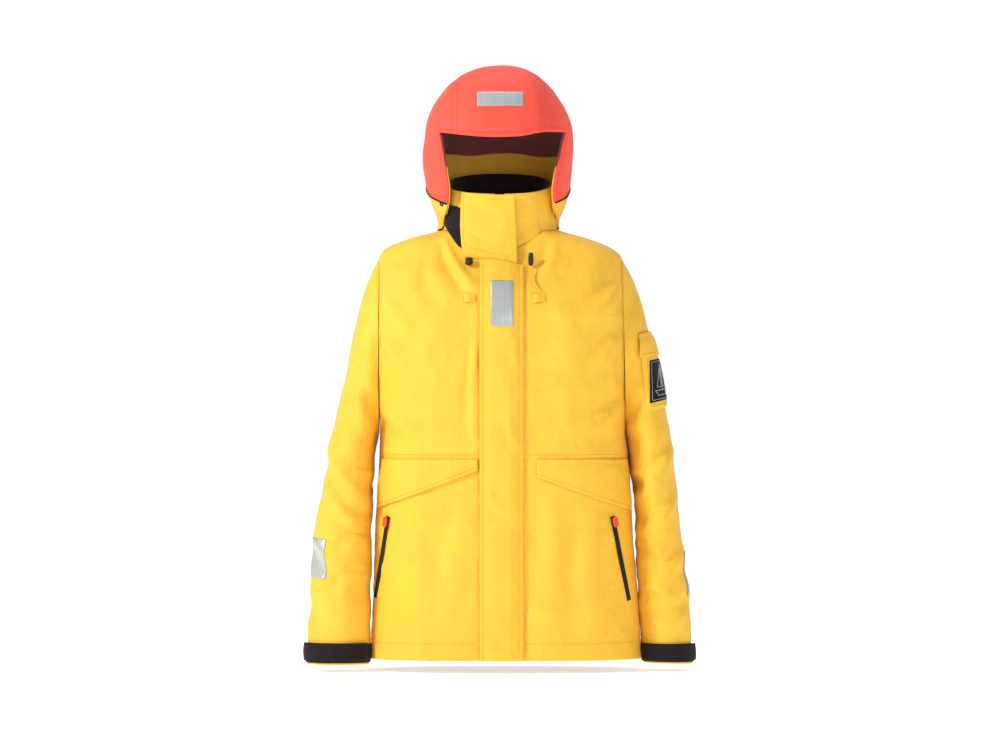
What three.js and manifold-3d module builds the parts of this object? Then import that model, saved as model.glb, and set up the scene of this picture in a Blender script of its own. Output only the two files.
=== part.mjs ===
// Hooded foul weather jacket, men's size L, worn shape, standing on its own.
// Millimetres, +Z up, the front faces -Y, the wearer's left is at +X.
// It is drawn with the hem at z = 0 and moved at the end, so that the hanger loop's
// bearing face at the back of the neck is the origin.
import * as THREE from "three";
import { mergeVertices } from "three/addons/utils/BufferGeometryUtils.js";
import Module from "manifold-3d";

const wasm = await Module();
wasm.setup();
const { Manifold, Mesh } = wasm;

// ---------------------------------------------------------------- driving sizes
const CHEST_WIDTH = 434; // between the two armholes' planes and the side seams below them
const BODY_DEPTH = 263; // front to back at the chest
const BACK_LENGTH = 763; // hem to the neck seam at the back
const HOOD_WIDTH = 266; // widest outside width of the hood
const SLEEVE_DEPTH = 150; // sleeve front to back where it meets the body
const COLLAR_HEIGHT = 104; // neck seam to collar top, in front
const STORM_FLAP_WIDTH = 77;
const CLOTH = 2.2; // laminated shell cloth with its backing
const LINING = 1.4;
const FLAP = 2.4; // a flap is two layers
const GAP = 0.4; // clearance between neighbouring pieces

const W = (x) => (x * CHEST_WIDTH) / 434;
const D = (y) => (y * BODY_DEPTH) / 263;
const H = (z) => (z * BACK_LENGTH) / 763;
const HW = (x) => (x * HOOD_WIDTH) / 266;
const MIDDLE = 3; // x of the main zip
const FLAP_HINGE = MIDDLE + STORM_FLAP_WIDTH / 2; // sewn edge of the storm flap
const FLAP_EDGE = MIDDLE - STORM_FLAP_WIDTH / 2; // its free edge

const FINISH = {
  yellow: ["#f5bd20", 0.72, 0],
  orange: ["#f2503c", 0.72, 0],
  black: ["#1b1718", 0.9, 0],
  fleece: ["#161314", 1, 0],
  dark: ["#3c1416", 0.9, 0],
  lining: ["#c98a18", 0.9, 0],
  silver: ["#b4b6b6", 0.35, 0.3],
  plastic: ["#17181a", 0.45, 0],
  metal: ["#8d9094", 0.35, 0.9],
};

const group = new THREE.Group();

function add(name, geometry, finish) {
  const [color, roughness, metalness] = FINISH[finish];
  const material = new THREE.MeshStandardMaterial({ color, roughness, metalness });
  material.name = finish;
  const mesh = new THREE.Mesh(geometry, material);
  mesh.name = name;
  group.add(mesh);
  return mesh;
}

// ---------------------------------------------------------------- general tools
const V = (x, y, z) => new THREE.Vector3(x, y, z);
const clamp01 = (t) => Math.min(1, Math.max(0, t));
const mix = (a, b, t) => a + (b - a) * t;
const smooth = (t) => clamp01(t) ** 2 * (3 - 2 * clamp01(t));

// A smooth curve through [at, value] pairs that never overshoots them.
function curve(pairs, atScale = (v) => v, valueScale = (v) => v) {
  const xs = pairs.map(([at]) => atScale(at));
  const ys = pairs.map(([, value]) => valueScale(value));
  const n = xs.length;
  const slope = [];
  for (let i = 0; i < n - 1; i += 1) {
    slope.push((ys[i + 1] - ys[i]) / (xs[i + 1] - xs[i]));
  }
  const m = ys.map((_, i) => {
    if (i === 0) return slope[0];
    if (i === n - 1) return slope[n - 2];
    if (slope[i - 1] * slope[i] <= 0) return 0;
    return (2 * slope[i - 1] * slope[i]) / (slope[i - 1] + slope[i]);
  });
  return (x) => {
    if (x <= xs[0]) return ys[0];
    if (x >= xs[n - 1]) return ys[n - 1];
    let i = 0;
    while (x > xs[i + 1]) i += 1;
    const h = xs[i + 1] - xs[i];
    const t = (x - xs[i]) / h;
    const t2 = t * t;
    const t3 = t2 * t;
    const ends = (2 * t3 - 3 * t2 + 1) * ys[i] + (3 * t2 - 2 * t3) * ys[i + 1];
    return ends + h * ((t3 - 2 * t2 + t) * m[i] + (t3 - t2) * m[i + 1]);
  };
}

function toGeometry(points, faces) {
  const geometry = new THREE.BufferGeometry();
  const flat = [];
  points.forEach((p) => flat.push(p.x, p.y, p.z));
  let volume = 0;
  for (const [a, b, c] of faces) {
    volume += points[a].dot(points[b].clone().cross(points[c]));
  }
  const index = [];
  for (const [a, b, c] of faces) {
    index.push(a, volume < 0 ? c : b, volume < 0 ? b : c);
  }
  geometry.setAttribute("position", new THREE.Float32BufferAttribute(flat, 3));
  geometry.setIndex(index);
  return geometry;
}

// A closed slab between two sheets, each a function of (s, t) from 0 to 1. A ring closes on itself in s.
function slab(outer, inner, ns, nt, ring = false) {
  const cols = ring ? ns : ns + 1;
  const points = [];
  for (const sheet of [outer, inner]) {
    for (let j = 0; j <= nt; j += 1) {
      for (let i = 0; i < cols; i += 1) points.push(sheet(i / ns, j / nt));
    }
  }
  const at = (f, i, j) => f * cols * (nt + 1) + j * cols + (i % cols);
  const faces = [];
  const quad = (a, b, c, d) => faces.push([a, b, c], [a, c, d]);
  for (let j = 0; j < nt; j += 1) {
    for (let i = 0; i < ns; i += 1) {
      quad(at(0, i, j), at(0, i + 1, j), at(0, i + 1, j + 1), at(0, i, j + 1));
      quad(at(1, i, j), at(1, i, j + 1), at(1, i + 1, j + 1), at(1, i + 1, j));
    }
  }
  for (let i = 0; i < ns; i += 1) {
    quad(at(0, i, 0), at(1, i, 0), at(1, i + 1, 0), at(0, i + 1, 0));
    quad(at(0, i, nt), at(0, i + 1, nt), at(1, i + 1, nt), at(1, i, nt));
  }
  if (!ring) {
    for (let j = 0; j < nt; j += 1) {
      quad(at(0, 0, j), at(0, 0, j + 1), at(1, 0, j + 1), at(1, 0, j));
      quad(at(0, ns, j), at(1, ns, j), at(1, ns, j + 1), at(0, ns, j + 1));
    }
  }
  return toGeometry(points, faces);
}

// A slab lying on a surface(u, v, offset), between two offsets (numbers or functions of s and t).
function cover(surface, place, low, high, ns, nt, ring = false) {
  const value = (f, s, t) => (typeof f === "function" ? f(s, t) : f);
  const outer = (s, t) => surface(...place(s, t), value(high, s, t));
  const inner = (s, t) => surface(...place(s, t), value(low, s, t));
  return slab(outer, inner, ns, nt, ring);
}

// A round rod through points.
function rod(points, radius, sides = 8) {
  const rings = points.map((p, i) => {
    const ahead = points[Math.min(i + 1, points.length - 1)];
    const behind = points[Math.max(i - 1, 0)];
    const along = ahead.clone().sub(behind).normalize();
    const helper = Math.abs(along.y) < 0.9 ? V(0, 1, 0) : V(1, 0, 0);
    const u = helper.clone().cross(along).normalize();
    const v = along.clone().cross(u);
    const r = Array.isArray(radius) ? radius[i] : radius;
    return Array.from({ length: sides }, (_, k) => {
      const a = (2 * Math.PI * k) / sides;
      return p.clone().addScaledVector(u, r * Math.cos(a)).addScaledVector(v, r * Math.sin(a));
    });
  });
  const all = rings.flat();
  all.push(points[0].clone(), points[points.length - 1].clone());
  const faces = [];
  const last = (points.length - 1) * sides;
  for (let k = 0; k < sides; k += 1) {
    const n = (k + 1) % sides;
    for (let i = 0; i < points.length - 1; i += 1) {
      const a = i * sides;
      faces.push([a + k, a + n, a + sides + n], [a + k, a + sides + n, a + sides + k]);
    }
    faces.push([all.length - 2, n, k], [all.length - 1, last + k, last + n]);
  }
  return toGeometry(all, faces);
}

// A prism over an outline in a local plane (right, up), rising along out.
function prism(outline, origin, right, up, out, low, high) {
  const points = [];
  for (const level of [low, high]) {
    for (const [a, b] of outline) {
      const p = origin.clone().addScaledVector(right, a).addScaledVector(up, b);
      points.push(p.addScaledVector(out, level));
    }
  }
  const n = outline.length;
  const faces = [];
  const shape = THREE.ShapeUtils.triangulateShape(outline.map(([a, b]) => new THREE.Vector2(a, b)), []);
  for (const [a, b, c] of shape) faces.push([a, c, b], [n + a, n + b, n + c]);
  const turn = THREE.ShapeUtils.area(outline.map(([a, b]) => new THREE.Vector2(a, b))) > 0;
  for (let i = 0; i < n; i += 1) {
    const j = (i + 1) % n;
    if (turn) faces.push([i, j, n + j], [i, n + j, n + i]);
    else faces.push([j, i, n + i], [j, n + i, n + j]);
  }
  return toGeometry(points, faces);
}

function roundedOutline(width, height, radius, steps = 3) {
  const corners = [
    [width / 2 - radius, height / 2 - radius, 0],
    [radius - width / 2, height / 2 - radius, 90],
    [radius - width / 2, radius - height / 2, 180],
    [width / 2 - radius, radius - height / 2, 270],
  ];
  const outline = [];
  for (const [cx, cy, start] of corners) {
    for (let k = 0; k <= steps; k += 1) {
      const a = ((start + (90 * k) / steps) * Math.PI) / 180;
      outline.push([cx + radius * Math.cos(a), cy + radius * Math.sin(a)]);
    }
  }
  return outline;
}

// Adds an offset along the outward normal to a plain surface point(u, v).
function offsetSurface(point, stepU, stepV, centre) {
  return (u, v, offset = 0) => {
    const p = point(u, v);
    if (offset === 0) return p;
    const du = point(u + stepU, v).sub(point(u - stepU, v));
    const dv = point(u, v + stepV).sub(point(u, v - stepV));
    const normal = du.cross(dv).normalize();
    if (normal.dot(p.clone().sub(centre(u, v))) < 0) normal.negate();
    return p.addScaledVector(normal, offset);
  };
}

function toManifold(geometry) {
  const bare = new THREE.BufferGeometry();
  bare.setAttribute("position", geometry.getAttribute("position").clone());
  if (geometry.index) bare.setIndex(geometry.index.clone());
  const merged = mergeVertices(bare, 1e-4);
  const mesh = new Mesh({
    numProp: 3,
    vertProperties: new Float32Array(merged.getAttribute("position").array),
    triVerts: new Uint32Array(merged.index.array),
  });
  mesh.merge();
  return new Manifold(mesh);
}

function fromManifold(solid) {
  const mesh = solid.getMesh();
  const geometry = new THREE.BufferGeometry();
  geometry.setAttribute("position", new THREE.BufferAttribute(new Float32Array(mesh.vertProperties), 3));
  geometry.setIndex(new THREE.BufferAttribute(new Uint32Array(mesh.triVerts), 1));
  return geometry;
}

// ---------------------------------------------------------------- body surface
const ARM_TOP = H(706);
const ARM_BOTTOM = H(400);
const ARM_MIDDLE = (ARM_TOP + ARM_BOTTOM) / 2;
const POWER = 2.8;

const sideRight = curve(
  [[0, 248], [130, 240], [215, 235], [300, 230], [366, 225], [400, 221], [706, 215], [720, 202],
    [740, 160], [750, 126], [757, 102], [765, 96]], H, W);
const sideLeft = curve(
  [[0, 228], [130, 223], [215, 221], [300, 217], [366, 214], [400, 213], [706, 214], [720, 206],
    [740, 166], [750, 130], [757, 104], [765, 97]], H, W);
const frontDepth = curve(
  [[0, 138], [600, 138], [640, 128], [680, 110], [700, 98], [715, 90], [735, 83], [757, 76], [765, 74]], H, D);
const backDepth = curve(
  [[0, 125], [480, 128], [560, 132], [640, 128], [680, 120], [705, 110], [722, 102], [740, 92],
    [757, 82], [765, 79]], H, D);
const neckHeight = curve([[0, 715], [7.5, 733], [19, 746], [39, 755], [63, 757], [90, 757], [135, 761], [180, 763]], (a) => a, H);

function armholeDepth(z) {
  const reach = 1 - ((z - ARM_MIDDLE) / (ARM_TOP - ARM_MIDDLE)) ** 2;
  return reach > 0 ? (SLEEVE_DEPTH / 2) * Math.sqrt(reach) : 0;
}

function halfWidth(turn, z, back) {
  const half = turn < 0 ? sideLeft(z) + MIDDLE : sideRight(z) - MIDDLE;
  const cut = armholeDepth(z) / (back ? backDepth(z) : frontDepth(z));
  return half / (1 - cut ** POWER) ** (1 / POWER);
}

// turn is the angle round the body: 0 at the front middle, +90 degrees at the wearer's left.
function bodyPoint(angle, z) {
  const turn = angle - 2 * Math.PI * Math.round(angle / (2 * Math.PI));
  const back = Math.abs(turn) > Math.PI / 2;
  const lean = back ? Math.PI - Math.abs(turn) : Math.abs(turn);
  const depth = back ? backDepth(z) : -frontDepth(z);
  const across = Math.sin(lean) ** (2 / POWER) * halfWidth(turn, z, back);
  const y = depth * Math.max(0, Math.cos(lean)) ** (2 / POWER);
  return V(MIDDLE + Math.sign(turn) * across, y, z);
}
const body = offsetSurface(bodyPoint, 0.004, 0.5, (u, v) => V(0, 0, Math.min(v, H(700))));

// The greatest turn before the armhole, or 90 degrees where there is none.
function armEdge(z, back) {
  const cut = armholeDepth(z) / (back ? backDepth(z) : frontDepth(z));
  return Math.acos(cut ** (POWER / 2));
}

function turnAt(x, z, back = false) {
  const side = x < MIDDLE ? -1 : 1;
  const share = Math.min(1, Math.abs(x - MIDDLE) / halfWidth(side, z, back));
  const lean = Math.asin(share ** (POWER / 2));
  return side * (back ? Math.PI - lean : lean);
}

const front = (x, z, offset) => body(turnAt(x, z), z, offset);
const neckAt = (turn) => neckHeight((Math.abs(turn) * 180) / Math.PI);

// Rows crowd together where the armhole starts and ends.
function rows(list) {
  const at = list.map((z, i) => [i / (list.length - 1), z]);
  return { count: list.length - 1, z: (t) => at[Math.round(t * (list.length - 1))][1] };
}

const ZIP_EDGE = 5; // half the slot between the two fronts
const SEAM = GAP / 2;
const POCKET_SEAM = 355;

function frontPanel(side, list, low, high, startX = ZIP_EDGE, ns = 12) {
  const levels = rows(list);
  const place = (s, t) => {
    const z0 = levels.z(t);
    const top = z0 === "neck";
    let z = top ? H(757) : H(z0);
    if (t === 0) z += SEAM;
    const start = Math.abs(turnAt(MIDDLE + side * startX, Math.min(z, H(715))));
    let turn = mix(start, armEdge(z, false), s);
    if (top) {
      turn = mix(start, Math.PI / 2, s);
      z = neckAt(turn) - SEAM;
    } else {
      z = Math.min(z, neckAt(turn) - (H(757) - z) * 0.45 - 0.5);
    }
    if (levels.z(t) === POCKET_SEAM && t === 1) z -= SEAM;
    const edge = s === 1 ? -0.002 : 0;
    return [side * (turn + edge), z];
  };
  return cover(body, place, low, high, ns, levels.count);
}

const LOWER_ROWS = [0, 90, 180, 262, 355];
const UPPER_ROWS = [355, 400, 408, 430, 480, 553, 600, 640, 670, 696, 706, 722, 738, "neck"];

const BACK_ROWS = [0, 90, 180, 270, 355, 400, 408, 430, 480, 553, 610, 640];
const YOKE_ROWS = [640, 670, 696, 706, 722, 738, "neck"];

function backPanel(list, low, high, ns) {
  const levels = rows(list);
  const place = (s, t) => {
    const z0 = levels.z(t);
    const z = z0 === "neck" ? H(757) : H(z0);
    const reach = armEdge(z, true) - (s === 0 || s === 1 ? 0.002 : 0);
    const lean = mix(-reach, reach, s);
    const turn = lean < 0 ? -Math.PI - lean : Math.PI - lean;
    const level = z0 === "neck" ? neckAt(turn) - SEAM : Math.min(z, neckAt(turn) - 1);
    return [turn, level + (t === 0 ? SEAM : 0) - (t === 1 && z0 !== "neck" ? SEAM : 0)];
  };
  return cover(body, place, low, high, ns, levels.count);
}

for (const [side, hand] of [[-1, "right"], [1, "left"]]) {
  add(`front_lower_${hand}`, frontPanel(side, LOWER_ROWS, -CLOTH, 0), "yellow");
  add(`front_upper_${hand}`, frontPanel(side, UPPER_ROWS, -CLOTH, 0), "yellow");
  add(`lining_front_${hand}`, frontPanel(side, [12, 130, 262, 355, 400, 408, 430, 553, 670, 700],
    -8 - LINING, -8, 24, 8), "lining");
}
add("back_panel", backPanel(BACK_ROWS, -CLOTH, 0, 16), "yellow");
add("back_yoke", backPanel(YOKE_ROWS, -CLOTH, 0, 14), "yellow");
add("lining_back", backPanel([12, 130, 262, 355, 400, 408, 430, 553, 670, 700], -8 - LINING, -8, 12), "lining");

// ---------------------------------------------------------------- collar
// Stands on the neck seam and closes in a little towards its top. The angle goes round the collar.
function neckTurn(angle) {
  const share = Math.abs(Math.sin(angle)) ** 0.8;
  const side = Math.sin(angle) < 0 ? -1 : 1;
  const back = Math.cos(angle) < 0;
  const reach = (turn) => Math.abs(bodyPoint(side * turn, neckAt(turn)).x - MIDDLE);
  const goal = share * reach(Math.PI / 2);
  let inside = back ? Math.PI : 0;
  let outside = Math.PI / 2;
  for (let k = 0; k < 30; k += 1) {
    const half = (inside + outside) / 2;
    if (reach(half) < goal) inside = half;
    else outside = half;
  }
  return side * inside;
}

function collarPoint(angle, t) {
  const turn = neckTurn(angle);
  const base = bodyPoint(turn, neckAt(Math.abs(turn)) + 0.6);
  const c = Math.cos(angle);
  const s = Math.sin(angle);
  const top = H(mix(819, 859, (1 - c) / 2)) + (COLLAR_HEIGHT - 104);
  const x = MIDDLE - 4 + W(96) * Math.sign(s) * Math.abs(s) ** 0.8;
  const y = c > 0 ? -D(88) * c ** 0.8 : D(78) * (-c) ** 0.8;
  return base.lerp(V(x, y, top), t);
}
const collar = offsetSurface(collarPoint, 0.004, 0.01, () => V(0, 0, H(790)));


function collarRing(startX, t0, t1, low, high, ns, nt) {
  const start = Math.asin((startX / W(98)) ** 1.25);
  const place = (s, t) => [mix(start, 2 * Math.PI - start, s), mix(t0, t1, t)];
  return cover(collar, place, low, high, ns, nt);
}
add("collar_shell", collarRing(ZIP_EDGE + 4, 0.01, 1, -CLOTH, 0, 28, 3), "yellow");
add("collar_lining", collarRing(20, 0.1, 1, -CLOTH - 4.2, -CLOTH - 1.4, 28, 3), "fleece");

const collarAt = (x) => Math.sign(x - MIDDLE) * Math.asin(Math.min(1, Math.abs(x - MIDDLE) / W(98)) ** 1.25);
const collarFront = (x, t, off) => collar(collarAt(x), t, off);

// ---------------------------------------------------------------- hanger loop, its underside at the neck seam
const LOOP_Y = D(82) - CLOTH - 8.6;
const loopLine = [[-26, -14], [-21, -14], [-17, -4], [-12, 0], [0, 0], [12, 0], [17, -4], [21, -14], [26, -14]];
const loopSheet = (lift) => (s, t) => {
  const [x, z] = loopLine[Math.round(s * 8)];
  const out = Math.abs(x) > 20 ? 0 : Math.sign(x) * lift * (Math.abs(x) > 14 ? 0.6 : 0);
  return V(x + out, LOOP_Y + (t - 0.5) * 9, H(763) + z + lift);
};
add("hanger_loop", slab(loopSheet(1.6), loopSheet(0), 8, 1), "black");

// ---------------------------------------------------------------- main zip
// The two tapes lie behind the fronts and the chain fills the slot between them.
function zipStrip(x0, x1, low, high, z0, z1) {
  const levels = [0, 300, 553, 600, 640, 670, 685, 700].map((z) => Math.min(z1, Math.max(z0, H(z))));
  const place = (s, t) => [mix(x0, x1, s), levels[Math.round(t * 7)]];
  return cover(front, place, low, high, 1, 7);
}
add("main_zip_tape_right", zipStrip(MIDDLE - 17, MIDDLE - 3.4, -4.6, -3.1, 6, H(700)), "black");
add("main_zip_tape_left", zipStrip(MIDDLE + 3.4, MIDDLE + 17, -4.6, -3.1, 6, H(700)), "black");
add("main_zip_chain", zipStrip(MIDDLE - 2.8, MIDDLE + 2.8, -3, 0.2, 4, H(700)), "plastic");
add("collar_zip_chain", cover(collarFront, (s, t) => [mix(MIDDLE - 2.8, MIDDLE + 2.8, s), mix(0.06, 0.98, t)],
  -CLOTH, 0.6, 2, 4), "plastic");

function sliderSolid(centre, along, outward, size, slot) {
  const right = along.clone().cross(outward).normalize();
  const w = size[0] / 2;
  const outline = [[-w, 0], [-w, size[2]], [w, size[2]], [w, 0], [slot, 0], [slot, 1.6], [-slot, 1.6], [-slot, 0]];
  return prism(outline, centre, right, outward, along, -size[1] / 2, size[1] / 2);
}
function pullSolid(centre, along, outward, size) {
  const right = along.clone().cross(outward).normalize();
  const hang = centre.clone().addScaledVector(along, -size[1] / 2 - 1);
  return prism(roundedOutline(size[0], size[1], size[0] / 3), hang, right, along, outward, 0, size[2]);
}

const zipUp = V(0, 0, 1);
const zipOut = V(0, -1, 0);
const lowSlider = V(MIDDLE, -D(138) - 0.4, 16);
add("main_slider_lower", sliderSolid(lowSlider, zipUp, zipOut, [8, 11, 3], 3.1), "metal");
add("main_pull_lower", prism(roundedOutline(7, 26, 3), V(MIDDLE, -D(138) - 3.9, 34), V(1, 0, 0), zipUp,
  zipOut, 0, 1), "plastic");
const collarLow = collarFront(MIDDLE, 0.1, 0);
const collarHigh = collarFront(MIDDLE, 0.9, 0);
const collarUp = collarHigh.clone().sub(collarLow).normalize();
const collarOut = V(0, -collarUp.z, collarUp.y);
const highSlider = collarHigh.clone().addScaledVector(collarOut, 0.8);
add("main_slider_upper", sliderSolid(highSlider, collarUp, collarOut, [8, 11, 3], 3.1), "metal");
add("main_pull_upper", prism(roundedOutline(7, 22, 3), highSlider.clone().addScaledVector(collarOut, 3.4)
  .addScaledVector(collarUp, -12), V(1, 0, 0), collarUp, collarOut, 0, 1), "plastic");

// ---------------------------------------------------------------- storm flap
const flapLift = (x) => mix(4, 6.6, smooth((x - FLAP_EDGE) / 24)) - 5 * smooth((x - MIDDLE - 12) / 24);
const FLAP_ROWS = [0, 120, 240, 360, 480, 553, 580, 600, 620, 640, 655, 670, 680, 690];
const flapPlace = (s, t) => [mix(FLAP_EDGE, FLAP_HINGE, s), H(FLAP_ROWS[Math.round(t * 13)])];
const flapLow = (s) => flapLift(flapPlace(s, 0)[0]);
add("storm_flap", cover(front, flapPlace, flapLow, (s, t) => flapLow(s) + FLAP, 10, 13), "yellow");
add("chest_reflector", cover(front, (s, t) => [mix(-16, 23, s), mix(H(586), H(661), t)],
  (s) => flapLift(mix(-16, 23, s)) + FLAP + 0.8, (s) => flapLift(mix(-16, 23, s)) + FLAP + 1.3, 4, 4), "silver");
const padPlace = (s, t) => [mix(FLAP_EDGE + 3, FLAP_EDGE + 15, s), mix(H(40), H(560), t)];
add("placket_loop_strip", cover(front, padPlace, 0.4, 1.4, 1, 2), "black");
add("placket_hook_strip", cover(front, padPlace, 1.8, 3.2, 1, 2), "black");

// ---------------------------------------------------------------- chin flap, over the collar's front
const CHIN = [-66, 30];
function chinPoint(x, t) {
  const high = collarFront(x, 0.98, 0);
  const bottom = H(mix(708, 697, (x - CHIN[0]) / (CHIN[1] - CHIN[0])));
  const low = front(x, bottom, 0);
  const mid = collarFront(x, 0.12, 0);
  const lift = mix(5, 7, t);
  const p = t < 0.15 ? low.lerp(mid, t / 0.15) : mid.lerp(high, (t - 0.15) / 0.85);
  p.y -= lift;
  return p;
}
const chin = offsetSurface(chinPoint, 0.5, 0.01, () => V(0, 0, H(770)));
const CHIN_T = [0, 0.15, 0.4, 0.7, 1];
const chinSheet = (off) => (s, t) => chin(mix(CHIN[0], CHIN[1], s), CHIN_T[Math.round(t * 4)], off);
add("chin_flap", slab(chinSheet(FLAP), chinSheet(0), 8, 4), "yellow");
add("collar_loop_patch", cover(collarFront, (s, t) => [mix(-93, -70, s), mix(0.14, 0.86, t)], 0.4, 1.4, 4, 3),
  "black");

// ---------------------------------------------------------------- cord locks and chest tabs
const lockRight = front(-54, H(695), 10);
add("cord_lock_right", rod([lockRight.clone().add(V(0, 0, -6)), lockRight.clone().add(V(0, 0, 5))], 6.5, 12),
  "plastic");
const lockLeft = front(54, H(699), 9);
add("cord_end_left", rod([-11, -6, 6, 11].map((z) => lockLeft.clone().add(V(0, 0, z))), [2.6, 4.4, 4.4, 3], 10),
  "plastic");
const cordPoints = [[54, 684], [58, 668], [66, 650]].map(([x, z]) => front(x, H(z), 4.4));
add("drawcord_left", rod(cordPoints, 1.4, 8), "yellow");
for (const [hand, x0, x1] of [["right", -66, -42], ["left", 54, 80]]) {
  const place = (s, t) => [mix(x0, x1, s), mix(H(626), H(643), t)];
  add(`chest_tab_${hand}`, cover(front, place, 0.4, 2, 3, 2), "yellow");
}

// ---------------------------------------------------------------- pockets
const POCKETS = [
  { side: -1, hand: "right", inner: FLAP_EDGE - 3, innerZ: 334, outerZ: 266, zip: [-194, 252, -217, 108] },
  { side: 1, hand: "left", inner: 65, innerZ: 322, outerZ: 262, zip: [196, 252, 225, 104] },
];
for (const { side, hand, inner, innerZ, outerZ, zip } of POCKETS) {
  const startTurn = Math.abs(turnAt(inner, H(300)));
  const endTurn = 1.33;
  const startShare = Math.abs(bodyPoint(side * startTurn, H(300)).x);
  const endShare = Math.abs(bodyPoint(side * endTurn, H(300)).x);
  const place = (s, t) => {
    const turn = side * mix(startTurn, endTurn, s);
    const share = (Math.abs(bodyPoint(turn, H(300)).x) - startShare) / (endShare - startShare);
    return [turn, mix(H(mix(innerZ, outerZ, share)), H(POCKET_SEAM - 2), t)];
  };
  add(`pocket_flap_${hand}`, cover(body, place, 1.4, 1.4 + FLAP, 12, 2), "yellow");
  const pocketX = (s) => side * mix(92, 178, s);
  add(`pocket_bag_${hand}`, cover(front, (s, t) => [pocketX(s), mix(H(70), H(268), t)], -6, -4.2, 4, 3),
    "lining");
  // A straight zip: each end lies on the body and the whole is lifted clear of the cloth between.
  const low = front(zip[2], H(zip[3]), 0);
  const high = front(zip[0], H(zip[1]), 0);
  const along = high.clone().sub(low).normalize();
  const middle = low.clone().lerp(high, 0.5);
  const skin = front(middle.x, middle.z, 1).sub(front(middle.x, middle.z, 0));
  const out = skin.addScaledVector(along, -skin.dot(along)).normalize();
  const right = along.clone().cross(out).normalize();
  let lift = 0;
  for (let k = 0; k <= 20; k += 1) {
    for (const w of [-5, 0, 5]) {
      const p = low.clone().lerp(high, k / 20).addScaledVector(right, w);
      lift = Math.max(lift, front(p.x, p.z, 0).sub(p).dot(out) / 1);
    }
  }
  const base = low.clone().addScaledVector(out, lift + GAP);
  const length = high.distanceTo(low);
  add(`pocket_zip_${hand}`, prism([[-5, 0], [5, 0], [5, length], [-5, length]], base, right, along, out, 0, 1.6),
    "black");
  const seat = base.clone().addScaledVector(along, length - 6).addScaledVector(out, 1.6 + GAP);
  add(`pocket_slider_${hand}`, prism(roundedOutline(7, 10, 2), seat, right, along, out, 0, 2.4), "metal");
  const grip = seat.clone().addScaledVector(out, 2.7).addScaledVector(along, -4);
  add(`pocket_pull_${hand}`, prism(roundedOutline(12, 18, 4), grip, right, along, out, 0, 1.8), "orange");
  group.userData[`pocket_${hand}`] = { along: along.toArray(), length };
}

// ---------------------------------------------------------------- sleeves
// Each row: outer |x| and z, inner |x| and z, half depth, lead of the section's middle.
const SLEEVE_RIGHT = [
  [214, 706, 213, 400, 75, 0], [236, 655, 215, 396, 74, 0], [253, 593, 216.5, 390, 73, 0],
  [271, 509, 218, 380, 72, -4], [288, 425, 219.5, 358, 71, -10], [303, 341, 222.5, 310, 69, -18],
  [314, 275, 225.5, 256, 65, -26], [324, 210, 227, 200, 60, -33], [331, 131, 228.5, 128, 54, -40],
  [336, 45, 230, 45, 48, -46], [339, -9, 231, -9, 45, -50]];
const SLEEVE_LEFT = [
  [215, 706, 221, 400, 75, 0], [240, 655, 223, 396, 74, 0], [259, 593, 224, 390, 73, 0],
  [280, 509, 226, 380, 72, -2], [294, 425, 228.5, 358, 71, -6], [306, 341, 233, 310, 69, -10],
  [316, 262, 239, 248, 65, -14], [325, 185, 242, 182, 60, -17], [332, 100, 245.5, 100, 54, -19],
  [337, 40, 250.5, 42, 49, -20], [340, -9, 253, -7, 46, -20]];

function sleeveMaker(side, table) {
  const last = table.length - 1;
  const column = (k, scale) => curve(table.map((row, i) => [i / last, row[k]]), (a) => a, scale);
  const at = [column(0, W), column(1, H), column(2, W), column(3, H)];
  const half = column(4, (v) => (v * SLEEVE_DEPTH) / 150);
  const lead = column(5, D);
  const point = (turn, t) => {
    const [ox, oz, ix, iz] = at.map((f) => f(t));
    const c = (1 + Math.cos(turn)) / 2;
    const y = lead(t) - half(t) * Math.sin(turn);
    const shift = side * (SEAM + 0.7);
    return V(side * mix(ix, ox, c) + shift, y, mix(iz, oz, c));
  };
  const centre = (turn, t) => V(side * (at[0](t) + at[2](t)) / 2, lead(t), (at[1](t) + at[3](t)) / 2);
  return offsetSurface(point, 0.01, 0.004, centre);
}
const sleeves = { right: sleeveMaker(-1, SLEEVE_RIGHT), left: sleeveMaker(1, SLEEVE_LEFT) };
const TURN = 2 * Math.PI;
const degrees = (d) => (d * Math.PI) / 180;

for (const [hand, sleeve] of Object.entries(sleeves)) {
  const list = [0, 0.1, 0.2, 0.3, 0.4, 0.5, 0.6, 0.7, 0.8, 0.9, 1];
  const place = (s, t) => [s * TURN, list[Math.round(t * 10)]];
  // The first ring stays in the armhole's plane.
  const skin = (turn, t, offset) => {
    const p = sleeve(turn, t, offset);
    if (t === 0) p.x = sleeve(turn, 0, 0).x;
    return p;
  };
  add(`sleeve_${hand}`, cover(skin, place, -CLOTH, 0, 24, 10, true), "yellow");
  add(`cuff_band_${hand}`, cover(sleeve, (s, t) => [s * TURN, mix(0.992, 0.93, t)], 0.6, 2.2, 24, 1, true),
    "black");
  const tab = (s, t) => [degrees(mix(150, -14, s)), mix(0.988, 0.926, t)];
  add(`cuff_tab_${hand}`, cover(sleeve, tab, 3.2, 5.2, 12, 1), "black");
}
add("sleeve_reflector_right", cover(sleeves.right, (s, t) => [degrees(mix(-42, 58, s)), mix(0.695, 0.786, t)],
  0.9, 1.4, 8, 3), "silver");
add("sleeve_reflector_left", cover(sleeves.left, (s, t) => [degrees(mix(-62, 24, s)), mix(0.695, 0.786, t)],
  0.9, 1.4, 8, 3), "silver");
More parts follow.
